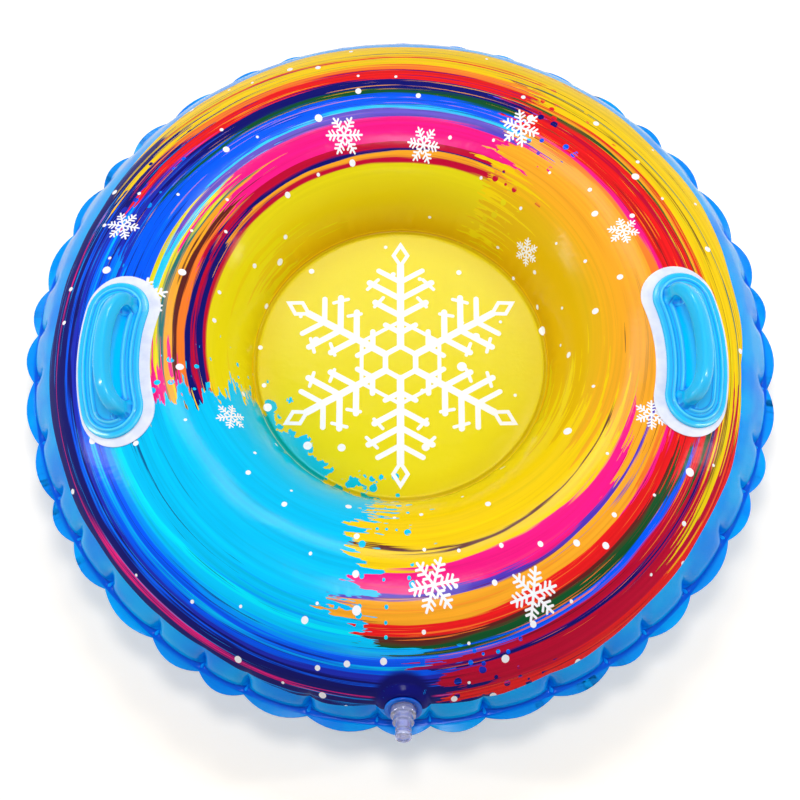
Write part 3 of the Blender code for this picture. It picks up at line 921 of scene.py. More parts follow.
@dataclass
class Sheet:
    """One sheet of film: a floor, half of the air ring and one layer of the scalloped fin."""

    name: str
    node: str
    slot: str
    form: RingForm
    upward: bool
    thickness: float
    ground_height: float = 117 * MM
    rows: SheetRows = SheetRows()
    window_rings: int = 12
    window_reach: float = 34.5 * MM
    print_map: str = "flat_place"
    bake_map: str = "OFBake"
    face_square: Pair = (0.5, 0.495)
    back_square: Pair = (0.075, 0.065)
    points: list = field(default_factory=list)
    places: list = field(default_factory=list)
    faces: list = field(default_factory=list)
    backs: list = field(default_factory=list)

    def layer(self, travels: Array, angles: Array, depth: float) -> tuple[Array, list]:
        """Add one layer of the sheet's points and faces, at a depth under its outer face.

        Args:
            travels: Distances of the rows.
            angles: Angles of the columns.
            depth: Depth under the outer face.

        Returns:
            The point numbers around the outer edge, and around the valve's hole.
        """
        travel, angle = np.meshgrid(travels, angles, indexing="ij")
        numbers = len(self.points) + np.arange(travel.size).reshape(travel.shape)
        self.add_places(angle.ravel(), travel.ravel(), depth)
        window = self.window(travels, angles) if self.upward else (0, 0, 0, 0)
        top, bottom, left, right = window
        rows, columns = travel.shape
        for row in range(rows - 1):
            for column in range(columns):
                if top <= row < bottom and left <= column < right:
                    continue
                near, far = numbers[row], numbers[row + 1]
                following = (column + 1) % columns
                self.add_face((near[column], near[following], far[following], far[column]), depth)
        self.add_face(numbers[0][::-1], depth)
        hole = self.fill_window(numbers, travel, angle, window, depth) if self.upward else []
        return numbers[-1], hole

    def window(self, travels: Array, angles: Array) -> tuple[int, int, int, int]:
        """First and last rows and columns of the window that is meshed around the valve.

        Args:
            travels: Distances of the rows.
            angles: Angles of the columns.

        Returns:
            Top and bottom rows, left and right columns.
        """
        along, _ = self.form.seat_chart(angles, np.zeros_like(angles))
        _, up = self.form.seat_chart(np.zeros_like(travels), travels)
        columns = np.flatnonzero(np.abs(along) < self.window_reach)
        rows = np.flatnonzero(np.abs(up) < self.window_reach)
        return rows[0] - 1, rows[-1] + 1, columns[0] - 1, columns[-1] + 1

    def fill_window(self, numbers: Array, travel: Array, angle: Array, window: tuple, depth: float) -> list:
        """Mesh the window with rings of points that run in to the valve's round hole.

        Args:
            numbers: Point numbers of the sheet's grid.
            travel: Distances of the grid's points.
            angle: Angles of the grid's points.
            window: The window's first and last rows and columns.
            depth: Depth under the outer face.

        Returns:
            The point numbers around the hole.
        """
        top, bottom, left, right = window
        loop = [(top, column) for column in range(left, right)]
        loop += [(row, right) for row in range(top, bottom)]
        loop += [(bottom, column) for column in range(right, left, -1)]
        loop += [(row, left) for row in range(bottom, top, -1)]
        at = tuple(np.array(loop).T)
        edge = np.stack(self.form.seat_chart(angle[at], travel[at]), -1)
        hole = edge / np.hypot(*edge.T)[:, None] * self.form.valve.hole_radius
        radius = self.form.radius_at(self.form.valve_travel)
        outer = numbers[at]
        for ring in range(1, self.window_rings + 1):
            chart = edge + (hole - edge) * (ring / self.window_rings)
            inner = len(self.points) + np.arange(len(loop))
            turned = self.form.valve.angle + chart[:, 0] / radius
            self.add_places(turned, self.form.valve_travel - chart[:, 1], depth)
            for corners in between(outer, inner):
                self.add_face(corners, depth)
            outer = inner
        return list(outer)

    def add_places(self, angle: Array, travel: Array, depth: float) -> None:
        """Add points at places on the flat sheet, at a depth under its outer face.

        Args:
            angle: Angles around the axis.
            travel: Distances from the axis along the flat sheet.
            depth: Depth under the outer face.
        """
        if self.upward:
            points = self.form.skin_with_boss(angle, travel, -depth)
        else:
            points = self.form.skin(angle, travel, -depth, self.ground_height - depth) * (1, 1, -1)
        self.points += list(points + np.array(self.form.centre))
        self.places += list(np.stack([np.cos(angle) * travel, np.sin(angle) * travel], -1))

    def add_face(self, corners: Sequence[int], depth: float) -> None:
        """Add a face that looks out of the sheet, on its outer face or on its air side."""
        self.faces.append(tuple(corners) if (depth > 0) == self.upward else tuple(corners)[::-1])
        self.backs.append(depth > 0)

    def join(self, outer: Sequence[int], inner: Sequence[int]) -> None:
        """Close the film's edge between two loops of points.

        Args:
            outer: Point numbers around one loop.
            inner: Point numbers around the other.
        """
        for corners in between(outer, inner):
            self.faces.append(corners[::-1] if self.upward else corners)
            self.backs.append(False)

    def build(self, face: Finish, back: Finish) -> Piece:
        """Make the sheet in the place of its frame solid.

        Args:
            face: Finish of the outer face.
            back: Finish of the air side.

        Returns:
            The sheet.
        """
        travels, angles = self.rows.travels(self.form), self.rows.angles(self.form)
        outer_edge, outer_hole = self.layer(travels, angles, 0.0)
        inner_edge, inner_hole = self.layer(travels, angles, self.thickness)
        self.join(outer_edge, inner_edge)
        self.join(outer_hole, inner_hole)
        piece = add_mesh(self.name, (self.points, self.faces), face, back)
        piece.data.set_sharp_from_angle(angle=SOFT_BEND)
        piece.data.polygons.foreach_set("material_index", np.array(self.backs, np.int32))
        self.lay_maps(piece.data)
        return hand_over(piece, "tube", self.slot, self.node)

    def lay_maps(self, mesh: bpy.types.Mesh) -> None:
        """Give each corner its place on the flat sheet, in metres, and its place in the square map.

        Args:
            mesh: The sheet's mesh.
        """
        corner = np.zeros(len(mesh.loops), np.int32)
        mesh.loops.foreach_get("vertex_index", corner)
        counts = np.zeros(len(mesh.polygons), np.int32)
        mesh.polygons.foreach_get("loop_total", counts)
        back = np.repeat(np.array(self.backs), counts)[:, None]
        places = np.array(self.places)[corner]
        unit = places / (self.form.weld_travel + self.form.fin_width)
        on_back, on_face = (middle + half * unit for middle, half in (self.back_square, self.face_square))
        squared = np.where(back, on_back, on_face)
        for name, layout in ((self.bake_map, squared), (self.print_map, places)):
            mesh.uv_layers.new(name=name).data.foreach_set("uv", layout.astype(np.float32).ravel())


@dataclass(frozen=True)
class Sweep:
    """One sweep of brush strokes over part of the ring.

    Inks go with the distance along the sheet at which they start, in millimetres. The ground's inks
    blend into each other, and the strokes further out have crisp edges.
    """

    middle: float
    half_width: float
    light_streak: Ink
    dark_streak: Ink
    ground: tuple[tuple[float, Ink], ...]
    strokes: tuple[tuple[float, Ink], ...]
    wider_outside: float = 0.0
    shift_outside: float = 0.0
    splash: float = 0.0

    def stops(self, start: float, end: float, edge: float) -> list[tuple[float, Ink]]:
        """Ramp stops of the inks.

        Args:
            start: Distance at which the ramp starts.
            end: Distance at which it ends.
            edge: Width of the blend between two strokes.

        Returns:
            The stops, from 0 to 1.
        """
        placed = list(self.ground)
        for place, ink in self.strokes:
            placed += [(place, placed[-1][1]), (place + edge / MM, ink)]
        return [((place * MM - start) / (end - start), ink) for place, ink in placed]


LOWER_RIGHT = Sweep(
    middle=math.radians(-55), half_width=math.radians(60),
    light_streak=Ink.ORANGE, dark_streak=Ink.MAROON,
    ground=((190, Ink.YELLOW), (330, Ink.SUN)),
    strokes=(
        (338, Ink.BROWN), (341, Ink.SUN), (360, Ink.PINK), (379, Ink.VIOLET), (386, Ink.AMBER),
        (402, Ink.RED), (418, Ink.BROWN), (425, Ink.GREEN), (434, Ink.BLUE), (443, Ink.CRIMSON),
        (458, Ink.NAVY), (464, Ink.CRIMSON), (494, Ink.RED),
    ),
)
TOP_RIGHT = Sweep(
    middle=math.radians(20), half_width=math.radians(44),
    wider_outside=math.radians(12), shift_outside=math.radians(-8),
    light_streak=Ink.YELLOW, dark_streak=Ink.BROWN,
    ground=((190, Ink.GOLD), (290, Ink.GOLD), (345, Ink.AMBER)),
    strokes=(
        (392, Ink.ORANGE), (400, Ink.PINK), (407, Ink.RED), (436, Ink.CRIMSON), (444, Ink.RED),
        (452, Ink.GREEN), (456, Ink.AMBER), (462, Ink.RED), (467, Ink.SUN), (477, Ink.BROWN),
        (479, Ink.SUN), (490, Ink.TEAL), (493, Ink.SUN),
    ),
)
UPPER_LEFT = Sweep(
    middle=math.radians(131), half_width=math.radians(69),
    wider_outside=math.radians(-10), shift_outside=math.radians(10),
    light_streak=Ink.AMBER, dark_streak=Ink.NAVY, splash=0.2,
    ground=((190, Ink.GOLD), (296, Ink.YELLOW)),
    strokes=(
        (300, Ink.CRIMSON), (308, Ink.AMBER), (315, Ink.NAVY), (321, Ink.CRIMSON), (333, Ink.PINK),
        (372, Ink.VIOLET), (388, Ink.CYAN), (394, Ink.BLUE), (420, Ink.GREEN), (428, Ink.NAVY),
        (450, Ink.RED), (474, Ink.ORANGE), (484, Ink.SUN), (506, Ink.RED), (510, Ink.SUN),
    ),
)
LEFT = Sweep(
    middle=math.radians(174), half_width=math.radians(32),
    light_streak=Ink.AZURE, dark_streak=Ink.NAVY,
    ground=((190, Ink.YELLOW), (296, Ink.YELLOW)),
    strokes=(
        (300, Ink.CRIMSON), (306, Ink.NAVY), (316, Ink.CRIMSON), (322, Ink.NAVY), (330, Ink.ORANGE),
        (341, Ink.BROWN), (347, Ink.AMBER), (356, Ink.TEAL), (361, Ink.YELLOW), (371, Ink.CYAN),
        (379, Ink.YELLOW), (386, Ink.BLUE), (428, Ink.INDIGO), (452, Ink.PINK), (456, Ink.NAVY),
    ),
)
LOWER_LEFT = Sweep(
    middle=math.radians(230), half_width=math.radians(32),
    wider_outside=math.radians(31), shift_outside=math.radians(14),
    light_streak=Ink.AZURE, dark_streak=Ink.NAVY, splash=0.2,
    ground=((190, Ink.CYAN), (390, Ink.CYAN)),
    strokes=(
        (416, Ink.AQUA), (422, Ink.CYAN), (433, Ink.AZURE), (442, Ink.BLUE), (454, Ink.CYAN),
        (457, Ink.BLUE), (464, Ink.INDIGO), (472, Ink.NAVY), (478, Ink.BLUE), (482, Ink.NAVY),
        (494, Ink.PINK), (496, Ink.NAVY),
    ),
)


@dataclass(frozen=True)
class PaintedWeldLight:
    """Light or shade painted along the floor's weld: a tint around a line at a distance from the weld."""

    offset: float
    reach: float
    core: float
    strength: float
    tint: Colour
    blend: str = "MULTIPLY"


# Painted shade that darkens the film towards the floor's weld, painted shade in the groove beside it and a
# painted highlight on its bead.
WELD_PAINTED_SHADE = PaintedWeldLight(0.0, reach=46 * MM, core=4 * MM, strength=0.4, tint=(0.8, 0.68, 0.1, 1.0))
WELD_GROOVE_PAINTED_SHADE = PaintedWeldLight(-3.5 * MM, reach=3.8 * MM, core=2 * MM, strength=0.55, tint=(0.68, 0.56, 0.2, 1.0))
WELD_BEAD_PAINTED_HIGHLIGHT = PaintedWeldLight(1.4 * MM, reach=1.9 * MM, core=0.9 * MM, strength=0.6, tint=Ink.SUN.linear, blend="MIX")


@dataclass(frozen=True)
class BossMark:
    """Where the valve's boss lies on the flat sheet, and how far the print keeps off it."""

    angle: float = ValveSeat.angle
    place: float = 540.7 * MM
    radius: float = 50 * MM
    core: float = 37.5 * MM
    margin: float = 57.5 * MM

    def off(self, graph: Graph, place: Socket) -> Socket:
        """Distance from the middle of the valve's boss.

        Args:
            graph: The material's nodes.
            place: The place on the flat sheet.

        Returns:
            The distance.
        """
        along, aside = math.cos(self.angle), math.sin(self.angle)
        seat = (along * self.place, aside * self.place, 0)
        return graph.vector("DISTANCE", place, seat).outputs["Value"]

    def clear(self, graph: Graph, place: Socket) -> Socket:
        """Where a place is off the boss, so that drops and flecks may show."""
        return graph.math("GREATER_THAN", self.off(graph, place), self.margin)


@dataclass(frozen=True)
class SnowMarks:
    """The print's white marks: one large snow crystal on the floor, small flakes, and flecks of snow.

    The crystal's and the flakes' parts are placed by shares of the arm. A branch is its root, its
    length and, on the crystal, its width. Spreads, chances and radii go with cells about each mark.
    """

    crystal_radius: float = 174 * MM
    crystal_turn: float = math.radians(30)
    crystal_arm: Triple = (0.13, 0.80, 9.5 * MM)
    crystal_branches: tuple[Triple, ...] = (
        (0.24, 0.13, 7 * MM), (0.38, 0.22, 8 * MM), (0.52, 0.27, 8 * MM), (0.66, 0.19, 7 * MM),
    )
    crystal_spurs: tuple[tuple[Pair, Pair], ...] = (
        ((0.455, 0.195), (0.53, 0.13)), ((0.60, 0.25), (0.68, 0.17)),
    )
    spur_width: float = 4.6 * MM
    crystal_plates: tuple[Pair, ...] = ((0.13, 7 * MM), (0.335, 5 * MM))
    tip_place: float = 0.885
    tip_reach: Pair = (0.115, 0.07)
    tip_outline: Pair = (0.76, 0.24)
    flake_cell: float = 150 * MM
    flake_spread: float = 0.45
    flake_chance: float = 0.48
    flake_size: float = 40 * MM
    flake_least_share: float = 0.5
    flake_range: Pair = (230 * MM, 468 * MM)
    flake_arm: Pair = (0.94, 0.10)
    flake_branches: tuple[Pair, ...] = ((0.28, 0.20), (0.48, 0.27), (0.68, 0.22))
    flake_branch_width: float = 0.095
    dot_cell: float = 52 * MM
    dot_spread: float = 0.9
    dot_chance: float = 0.5
    dot_power: float = 1.8
    dot_radii: Pair = (0.04, 0.125)

    def paint(self, graph: Graph, place: Socket, boss: BossMark) -> Socket:
        """The mask of all marks."""
        flecks = graph.both(self.dots(graph, place), boss.clear(graph, place))
        return graph.either(self.crystal(graph, place), self.flakes(graph, place), flecks)

    def folded(self, graph: Graph, place: Socket) -> tuple[Socket, Socket]:
        """Fold a place six-fold and mirrored, so that one half arm stands for a whole crystal.

        Args:
            graph: The material's nodes.
            place: A place from the crystal's centre.

        Returns:
            The place along the nearest arm, and to its side.
        """
        x, y, _ = graph.parts(place)
        turned = graph.math("PINGPONG", graph.math("ARCTAN2", y, x), math.pi / 6)
        radius = graph.length(place)
        return tuple(graph.both(radius, graph.math(part, turned)) for part in ("COSINE", "SINE"))

    def line(self, graph: Graph, at: tuple[Socket, Socket], start: Pair, end: Pair, width: float) -> Socket:
        """A straight printed line with round ends, on a folded place.

        Args:
            graph: The material's nodes.
            at: The place along the arm and to its side.
            start: The line's start.
            end: The line's end.
            width: Its width.

        Returns:
            The mask, 1 on the line.
        """
        run = (end[0] - start[0], end[1] - start[1], 0.0)
        along, aside = (graph.math("SUBTRACT", part, origin) for part, origin in zip(at, start))
        from_start = graph.combine(along, aside)
        share = graph.math("DIVIDE", graph.dot(from_start, run), run[0] ** 2 + run[1] ** 2)
        held = graph.math("MINIMUM", graph.math("MAXIMUM", share, 0.0), 1.0)
        away = graph.vector("SUBTRACT", from_start, graph.scaled(run, held)).outputs["Vector"]
        return graph.math("LESS_THAN", graph.length(away), width / 2)

    def crystal(self, graph: Graph, place: Socket) -> Socket:
        """The large snow crystal on the floor: a hexagonal plate with six branched arms.

        Args:
            graph: The material's nodes.
            place: The place on the flat sheet.

        Returns:
            The mask.
        """
        tilt = graph.node("ShaderNodeVectorRotate", {"Vector": place, "Angle": self.crystal_turn})
        at = self.folded(graph, tilt.outputs[0])
        size = self.crystal_radius
        root, tip, width = self.crystal_arm
        lines = [((root, 0.0), (tip, 0.0), width)]
        lines += [(*self.branch(root, reach), width) for root, reach, width in self.crystal_branches]
        lines += [(start, end, self.spur_width) for start, end in self.crystal_spurs]
        masks = [
            self.line(graph, at, (start[0] * size, start[1] * size), (end[0] * size, end[1] * size), width)
            for start, end, width in lines
        ]
        masks += [self.hexagon(graph, at, radius * size, width) for radius, width in self.crystal_plates]
        beyond = graph.off(at[0], self.tip_place * size)
        parts = zip((beyond, at[1]), self.tip_reach)
        shares = (graph.both(part, 1 / (reach * size)) for part, reach in parts)
        middle, half_width = self.tip_outline
        masks.append(graph.math("LESS_THAN", graph.off(graph.total(*shares), middle), half_width))
        return graph.either(*masks)

    @staticmethod
    def branch(root: float, reach: float) -> tuple[Pair, Pair]:
        """Start and end of a branch that leaves an arm at 60 degrees."""
        return (root, 0.0), (root + reach * math.cos(math.pi / 3), reach * math.sin(math.pi / 3))

    def hexagon(self, graph: Graph, at: tuple[Socket, Socket], radius: float, width: float) -> Socket:
        """An outlined hexagon with a corner on each arm.

        Args:
            graph: The material's nodes.
            at: The place along the arm and to its side.
            radius: Its corners' distance.
            width: Its line's width.

        Returns:
            The mask.
        """
        along, aside = at
        slope = math.pi / 6
        flat = graph.total(graph.both(along, math.cos(slope)), graph.both(aside, math.sin(slope)))
        return graph.math("LESS_THAN", graph.off(flat, radius * math.cos(slope)), width / 2)

    def flakes(self, graph: Graph, place: Socket) -> Socket:
        """Small snow flakes scattered over the ring, each turned and sized by chance.

        Args:
            graph: The material's nodes.
            place: The place on the flat sheet.

        Returns:
            The mask.
        """
        cell = graph.cells(place, self.flake_cell, self.flake_spread)
        chance, size, turn = graph.parts(cell.outputs["Color"])
        centre = cell.outputs["Position"]
        local = graph.vector("SUBTRACT", place, centre).outputs["Vector"]
        angle = graph.both(turn, math.tau)
        spin = graph.node("ShaderNodeVectorRotate", {"Vector": local, "Angle": angle})
        least = self.flake_size * self.flake_least_share
        radius = graph.span(size, 0.0, 1.0, least, self.flake_size)
        at = self.folded(graph, graph.scaled(spin.outputs[0], graph.math("DIVIDE", 1.0, radius)))
        length, width = self.flake_arm
        masks = [self.line(graph, at, (0.0, 0.0), (length, 0.0), width)]
        for branch in self.flake_branches:
            masks.append(self.line(graph, at, *self.branch(*branch), self.flake_branch_width))
        inner, outer = self.flake_range
        within = graph.math("LESS_THAN", graph.length(centre), outer)
        outside = graph.math("GREATER_THAN", graph.length(centre), inner)
        chosen = graph.math("GREATER_THAN", chance, self.flake_chance)
        return graph.both(graph.either(*masks), chosen, within, outside)

    def dots(self, graph: Graph, place: Socket) -> Socket:
        """Round white flecks of falling snow.

        Args:
            graph: The material's nodes.
            place: The place on the flat sheet.

        Returns:
            The mask.
        """
        cell = graph.cells(place, self.dot_cell, self.dot_spread)
        chance, size, _ = graph.parts(cell.outputs["Color"])
        radius = graph.span(graph.math("POWER", size, self.dot_power), 0.0, 1.0, *self.dot_radii)
        chosen = graph.math("GREATER_THAN", chance, self.dot_chance)
        return graph.both(graph.math("LESS_THAN", cell.outputs["Distance"], radius), chosen)


@dataclass(frozen=True)
class SnowPrint(Plastic):
    """The upper film's face: swirled brush strokes of many inks with snow crystals and flakes.

    Places are on the flat sheet, before it is inflated, and a range is where something fades in. The
    broad hair and the tears are hairs too: their width is a share of the plain hair's.
    """

    inner: float = 190 * MM
    outer: float = 600 * MM
    edge: float = 508 * MM
    edge_sway: float = 10 * MM
    edge_sway_scale: float = 1.6
    wrinkle_scales: Pair = (90.0, 900.0)
    wrinkle_share: float = 0.15
    wrinkle_height: float = 0.25 * MM
    gloss_scale: float = 30.0
    floor_weld: float = RingForm.floor_weld_radius
    weld: float = 587 * MM
    fin: float = 601 * MM
    # The fin pales from this far past the painted weld out to its edge: a painted highlight along its rim.
    fin_highlight_fade: float = 7 * MM
    fin_start: float = 2 * MM
    film_noise: Pair = (12.0, 2.0)
    # Place, core and reach of a dark line of painted shade at the foot of the wall, just inside the rim weld.
    wall_foot_shade: Triple = (1 * MM, 0.6 * MM, 2.2 * MM)
    wall_foot_shade_strength: float = 0.7
    drift: float = 40 * MM
    drift_angle: float = math.radians(265)
    drift_range: Pair = (290 * MM, 480 * MM)
    stroke_edge: float = 0.8 * MM
    hair: float = 5 * MM
    hair_length: float = 1.1
    hair_reach: float = 0.08
    hair_noise: Triple = (1.0, 3.0, 0.6)
    hair_change: Pair = (-0.2, 0.2)
    broad_hair: Pair = (6.0, 0.8)
    hair_sway: float = 18 * MM
    stroke_sway: float = 30 * MM
    sway_range: Pair = (270 * MM, 330 * MM)
    light_range: Pair = (260 * MM, 360 * MM)
    light_change: Pair = (-0.18, 0.12)
    back_reach: float = 36 * MM
    streak: float = 2.6 * MM
    streak_length: float = 1.5
    streak_range: Pair = (0.12, 0.15)
    lit_range: Pair = (360 * MM, 430 * MM)
    lit_strength: float = 0.85
    dim_range: Pair = (350 * MM, 400 * MM)
    dim_strength: float = 0.8
    end_blur: float = 0.01
    tear: float = 0.75
    tear_shape: Pair = (1.8, 4.5)
    long_tear: float = 2.6
    long_tear_shape: Pair = (1.4, 1.3)
    torn_edge: Pair = (178 * MM, 179 * MM)
    torn_edge_noise: Triple = (22.0, 4.0, 0.62)
    torn_edge_sway: float = 38 * MM
    torn_edge_drops: float = 14 * MM
    outside_range: Pair = (415 * MM, 450 * MM)
    map_name: str = Sheet.print_map
    boss: BossMark = BossMark()
    marks: SnowMarks = SnowMarks()
    drop_cell: float = 17 * MM
    drop_chance: float = 0.6
    drop_radii: Pair = (0.1, 0.34)

    def build(self) -> Finish:
        """Make the material."""
        return self.make(self.paint)

    def paint(self, graph: Graph) -> Painted:
        """Nodes of the print on the blue film, its uneven gloss and its fine wrinkles.

        Args:
            graph: The material's nodes.

        Returns:
            What feeds the colour, the roughness and the normal.
        """
        place = graph.node("ShaderNodeUVMap", {}, uv_map=self.map_name).outputs[0]
        radius = graph.length(place)
        heading = graph.vector("NORMALIZE", place).outputs["Vector"]
        facing = self.facing(graph, heading)
        shifted = graph.total(radius, graph.both(facing, graph.ease(radius, *self.drift_range), -self.drift))
        # Painted shade near the floor's weld and in its groove, and a painted highlight on its bead.
        colour = self.weld_shade_and_highlight(graph, radius, self.strokes(graph, place, radius, shifted, heading))
        colour = graph.mix(self.marks.paint(graph, place, self.boss), colour, Ink.WHITE.linear)
        by_boss = graph.ease(self.boss.off(graph, place), self.boss.radius, self.boss.core)
        colour = graph.mix(by_boss, colour, Ink.NAVY.linear)
        uneven = graph.noise(heading, self.edge_sway_scale)
        sway = graph.span(uneven, *NOISE_RANGE, -self.edge_sway, self.edge_sway)
        behind = graph.math("MINIMUM", facing, 0.0)
        reached = graph.total(shifted, sway, graph.both(behind, self.back_reach))
        printed = graph.math("LESS_THAN", reached, self.edge)
        colour = graph.mix(printed, self.film(graph, place, radius), colour)
        coarse, fine = self.wrinkle_scales
        wrinkle = graph.total(
            graph.noise(place, coarse, 3.0), graph.both(graph.noise(place, fine), self.wrinkle_share)
        )
        normal = graph.bump(wrinkle, self.wrinkle_height)
        return colour, self.uneven_gloss(graph, place, self.gloss_scale), normal

    def weld_shade_and_highlight(self, graph: Graph, radius: Socket, colour: Socket) -> Socket:
        """The strokes' colour with light and shade painted along the floor's weld: a soft painted shade,
        painted shade in the groove and a painted highlight on the bead.

        Args:
            graph: The material's nodes.
            radius: Distance from the axis.
            colour: The strokes' colour.

        Returns:
            The colour.
        """
        # Painted shade near the weld and in its groove, then a painted highlight on its bead.
        for weld_light in (WELD_PAINTED_SHADE, WELD_GROOVE_PAINTED_SHADE, WELD_BEAD_PAINTED_HIGHLIGHT):
            near = graph.ease(graph.off(radius, self.floor_weld + weld_light.offset), weld_light.reach, weld_light.core)
            colour = graph.mix(graph.both(near, weld_light.strength), colour, weld_light.tint, weld_light.blend)
        return colour

    def film(self, graph: Graph, place: Socket, radius: Socket) -> Socket:
        """The film's own blue on the wall under the print, with a line of painted shade at the wall's foot
        and the paler fin, its paleness a painted highlight.

        Args:
            graph: The material's nodes.
            place: The place on the flat sheet.
            radius: Its distance from the axis.

        Returns:
            The colour.
        """
        drift = graph.noise(place, *self.film_noise)
        wall = graph.mix(graph.ease(drift, *PATCHY), Ink.FILM_BLUE.linear, Ink.FILM_SHADE.linear)
        # The fin pales towards its edge: a painted highlight along its rim.
        fin_rim_highlight = graph.ease(radius, self.weld + self.fin_highlight_fade, self.fin)
        fin = graph.mix(fin_rim_highlight, Ink.FIN_BLUE.linear, Ink.FIN_RIM_HIGHLIGHT.linear)
        colour = graph.mix(graph.ease(radius, self.weld, self.weld + self.fin_start), wall, fin)
        # A dark line painted at the foot of the wall, just inside the rim weld: painted shade of the corner
        # there.
        offset, core, reach = self.wall_foot_shade
        line = graph.math("SUBTRACT", 1.0, graph.ease(graph.off(radius, self.weld + offset), core, reach))
        return graph.mix(graph.both(line, self.wall_foot_shade_strength), colour, Ink.WALL_FOOT_SHADE_BLUE.linear)

    def facing(self, graph: Graph, heading: Socket) -> Socket:
        """How far a place lies towards the side where the strokes run furthest out, from -1 to 1."""
        return graph.dot(heading, (math.cos(self.drift_angle), math.sin(self.drift_angle), 0))

    def strands(
        self, graph: Graph, radius: Socket, heading: Socket, width: float, length: float
    ) -> Socket:
        """Noise of about -0.5 to 0.5, drawn out around the ring like the hairs of a brush.

        Args:
            graph: The material's nodes.
            radius: Distance from the axis.
            heading: Direction from the axis.
            width: A hair's width.
            length: How often hairs change around the ring.

        Returns:
            The noise.
        """
        across = graph.math("DIVIDE", radius, width)
        x, y, _ = graph.parts(graph.scaled(heading, length))
        noise = graph.noise(graph.combine(x, y, across), *self.hair_noise)
        return graph.math("SUBTRACT", noise, 0.5)

    def strokes(
        self, graph: Graph, place: Socket, radius: Socket, shifted: Socket, heading: Socket
    ) -> Socket:
        """All sweeps of brush strokes, one over the other, with torn ends and drops of ink.

        Args:
            graph: The material's nodes.
            place: The place on the flat sheet.
            radius: Its distance from the axis.
            shifted: The same distance with the strokes' drift taken out.
            heading: Its direction from the axis.

        Returns:
            The strokes' colour.
        """
        hairs, broad, tear, long_tear, thin = (
            self.strands(graph, shifted, heading, width, length)
            for width, length in (
                (self.hair, self.hair_length),
                (self.hair * self.broad_hair[0], self.hair_length * self.broad_hair[1]),
                (self.hair * self.tear_shape[0], self.tear_shape[1]),
                (self.hair * self.long_tear_shape[0], self.long_tear_shape[1]),
                (self.streak, self.streak_length),
            )
        )
        sway = graph.total(graph.both(hairs, self.hair_sway), graph.both(broad, self.stroke_sway))
        swayed = graph.total(shifted, graph.both(sway, graph.ease(shifted, *self.sway_range)))
        tear, long_tear = graph.both(tear, self.tear), graph.both(long_tear, self.long_tear)
        drops = self.drops(graph, place)
        outside = graph.ease(graph.total(shifted, graph.both(hairs, self.hair_reach)), *self.outside_range)
        low, high = self.streak_range
        lit_place, dim_place = (graph.ease(shifted, *ends) for ends in (self.lit_range, self.dim_range))
        lit = graph.both(graph.ease(thin, low, high), lit_place, self.lit_strength)
        dim = graph.both(graph.ease(thin, -low, -high), dim_place, self.dim_strength)
        colour = self.inks(graph, LOWER_RIGHT, swayed, lit, dim)
        for sweep in (TOP_RIGHT, UPPER_LEFT, LEFT, LOWER_LEFT):
            turned = graph.total(self.turned(graph, place, sweep), graph.both(outside, sweep.shift_outside))
            half = graph.total(graph.both(outside, sweep.wider_outside), sweep.half_width)
            inside = graph.math("SUBTRACT", half, graph.math("ABSOLUTE", turned))
            torn = tear if sweep.splash else long_tear
            reached = graph.total(inside, torn, graph.both(drops, sweep.splash))
            mask = graph.ease(reached, 0.0, self.end_blur)
            if sweep is LOWER_LEFT:
                mask = graph.both(mask, self.torn_floor_edge(graph, place, radius, drops))
            colour = graph.mix(mask, colour, self.inks(graph, sweep, swayed, lit, dim))
        change = graph.span(hairs, *self.hair_change, *self.light_change)
        light = graph.total(graph.both(change, graph.ease(shifted, *self.light_range)), 1.0)
        colour = graph.mix(1.0, colour, graph.combine(light, light, light), "MULTIPLY")
        floor = graph.math("LESS_THAN", radius, self.inner)
        splash = graph.both(mask, floor)
        plain = graph.math("SUBTRACT", floor, splash)
        return graph.mix(plain, colour, Ink.YELLOW.linear)

    def inks(self, graph: Graph, sweep: Sweep, swayed: Socket, lit: Socket, dim: Socket) -> Socket:
        """One sweep's inks along the distance from the axis, with its light and dark streaks.

        Args:
            graph: The material's nodes.
            sweep: The sweep.
            swayed: Distance from the axis, swayed as the strokes are.
            lit: Mask of the light streaks.
            dim: Mask of the dark streaks.

        Returns:
            The colour.
        """
        share = graph.span(swayed, self.inner, self.outer, 0.0, 1.0)
        colour = graph.ramp(share, sweep.stops(self.inner, self.outer, self.stroke_edge))
        colour = graph.mix(lit, colour, sweep.light_streak.linear)
        return graph.mix(dim, colour, sweep.dark_streak.linear)

    def turned(self, graph: Graph, place: Socket, sweep: Sweep) -> Socket:
        """The angle from a sweep's middle.

        Args:
            graph: The material's nodes.
            place: The place on the flat sheet.
            sweep: The sweep.

        Returns:
            The angle.
        """
        cosine, sine = math.cos(sweep.middle), math.sin(sweep.middle)
        along = graph.dot(place, (cosine, sine, 0))
        across = graph.dot(place, (-sine, cosine, 0))
        return graph.math("ARCTAN2", across, along)

    def torn_floor_edge(self, graph: Graph, place: Socket, radius: Socket, drops: Socket) -> Socket:
        """Where the cyan sweep covers the floor's edge, torn into fingers.

        Args:
            graph: The material's nodes.
            place: The place on the flat sheet.
            radius: Its distance from the axis.
            drops: Mask of the drops.

        Returns:
            The mask.
        """
        sway = self.torn_edge_sway
        ragged = graph.span(graph.noise(place, *self.torn_edge_noise), *NOISE_RANGE, -sway, sway)
        inside = graph.total(radius, ragged, graph.both(drops, self.torn_edge_drops))
        return graph.ease(inside, *self.torn_edge)

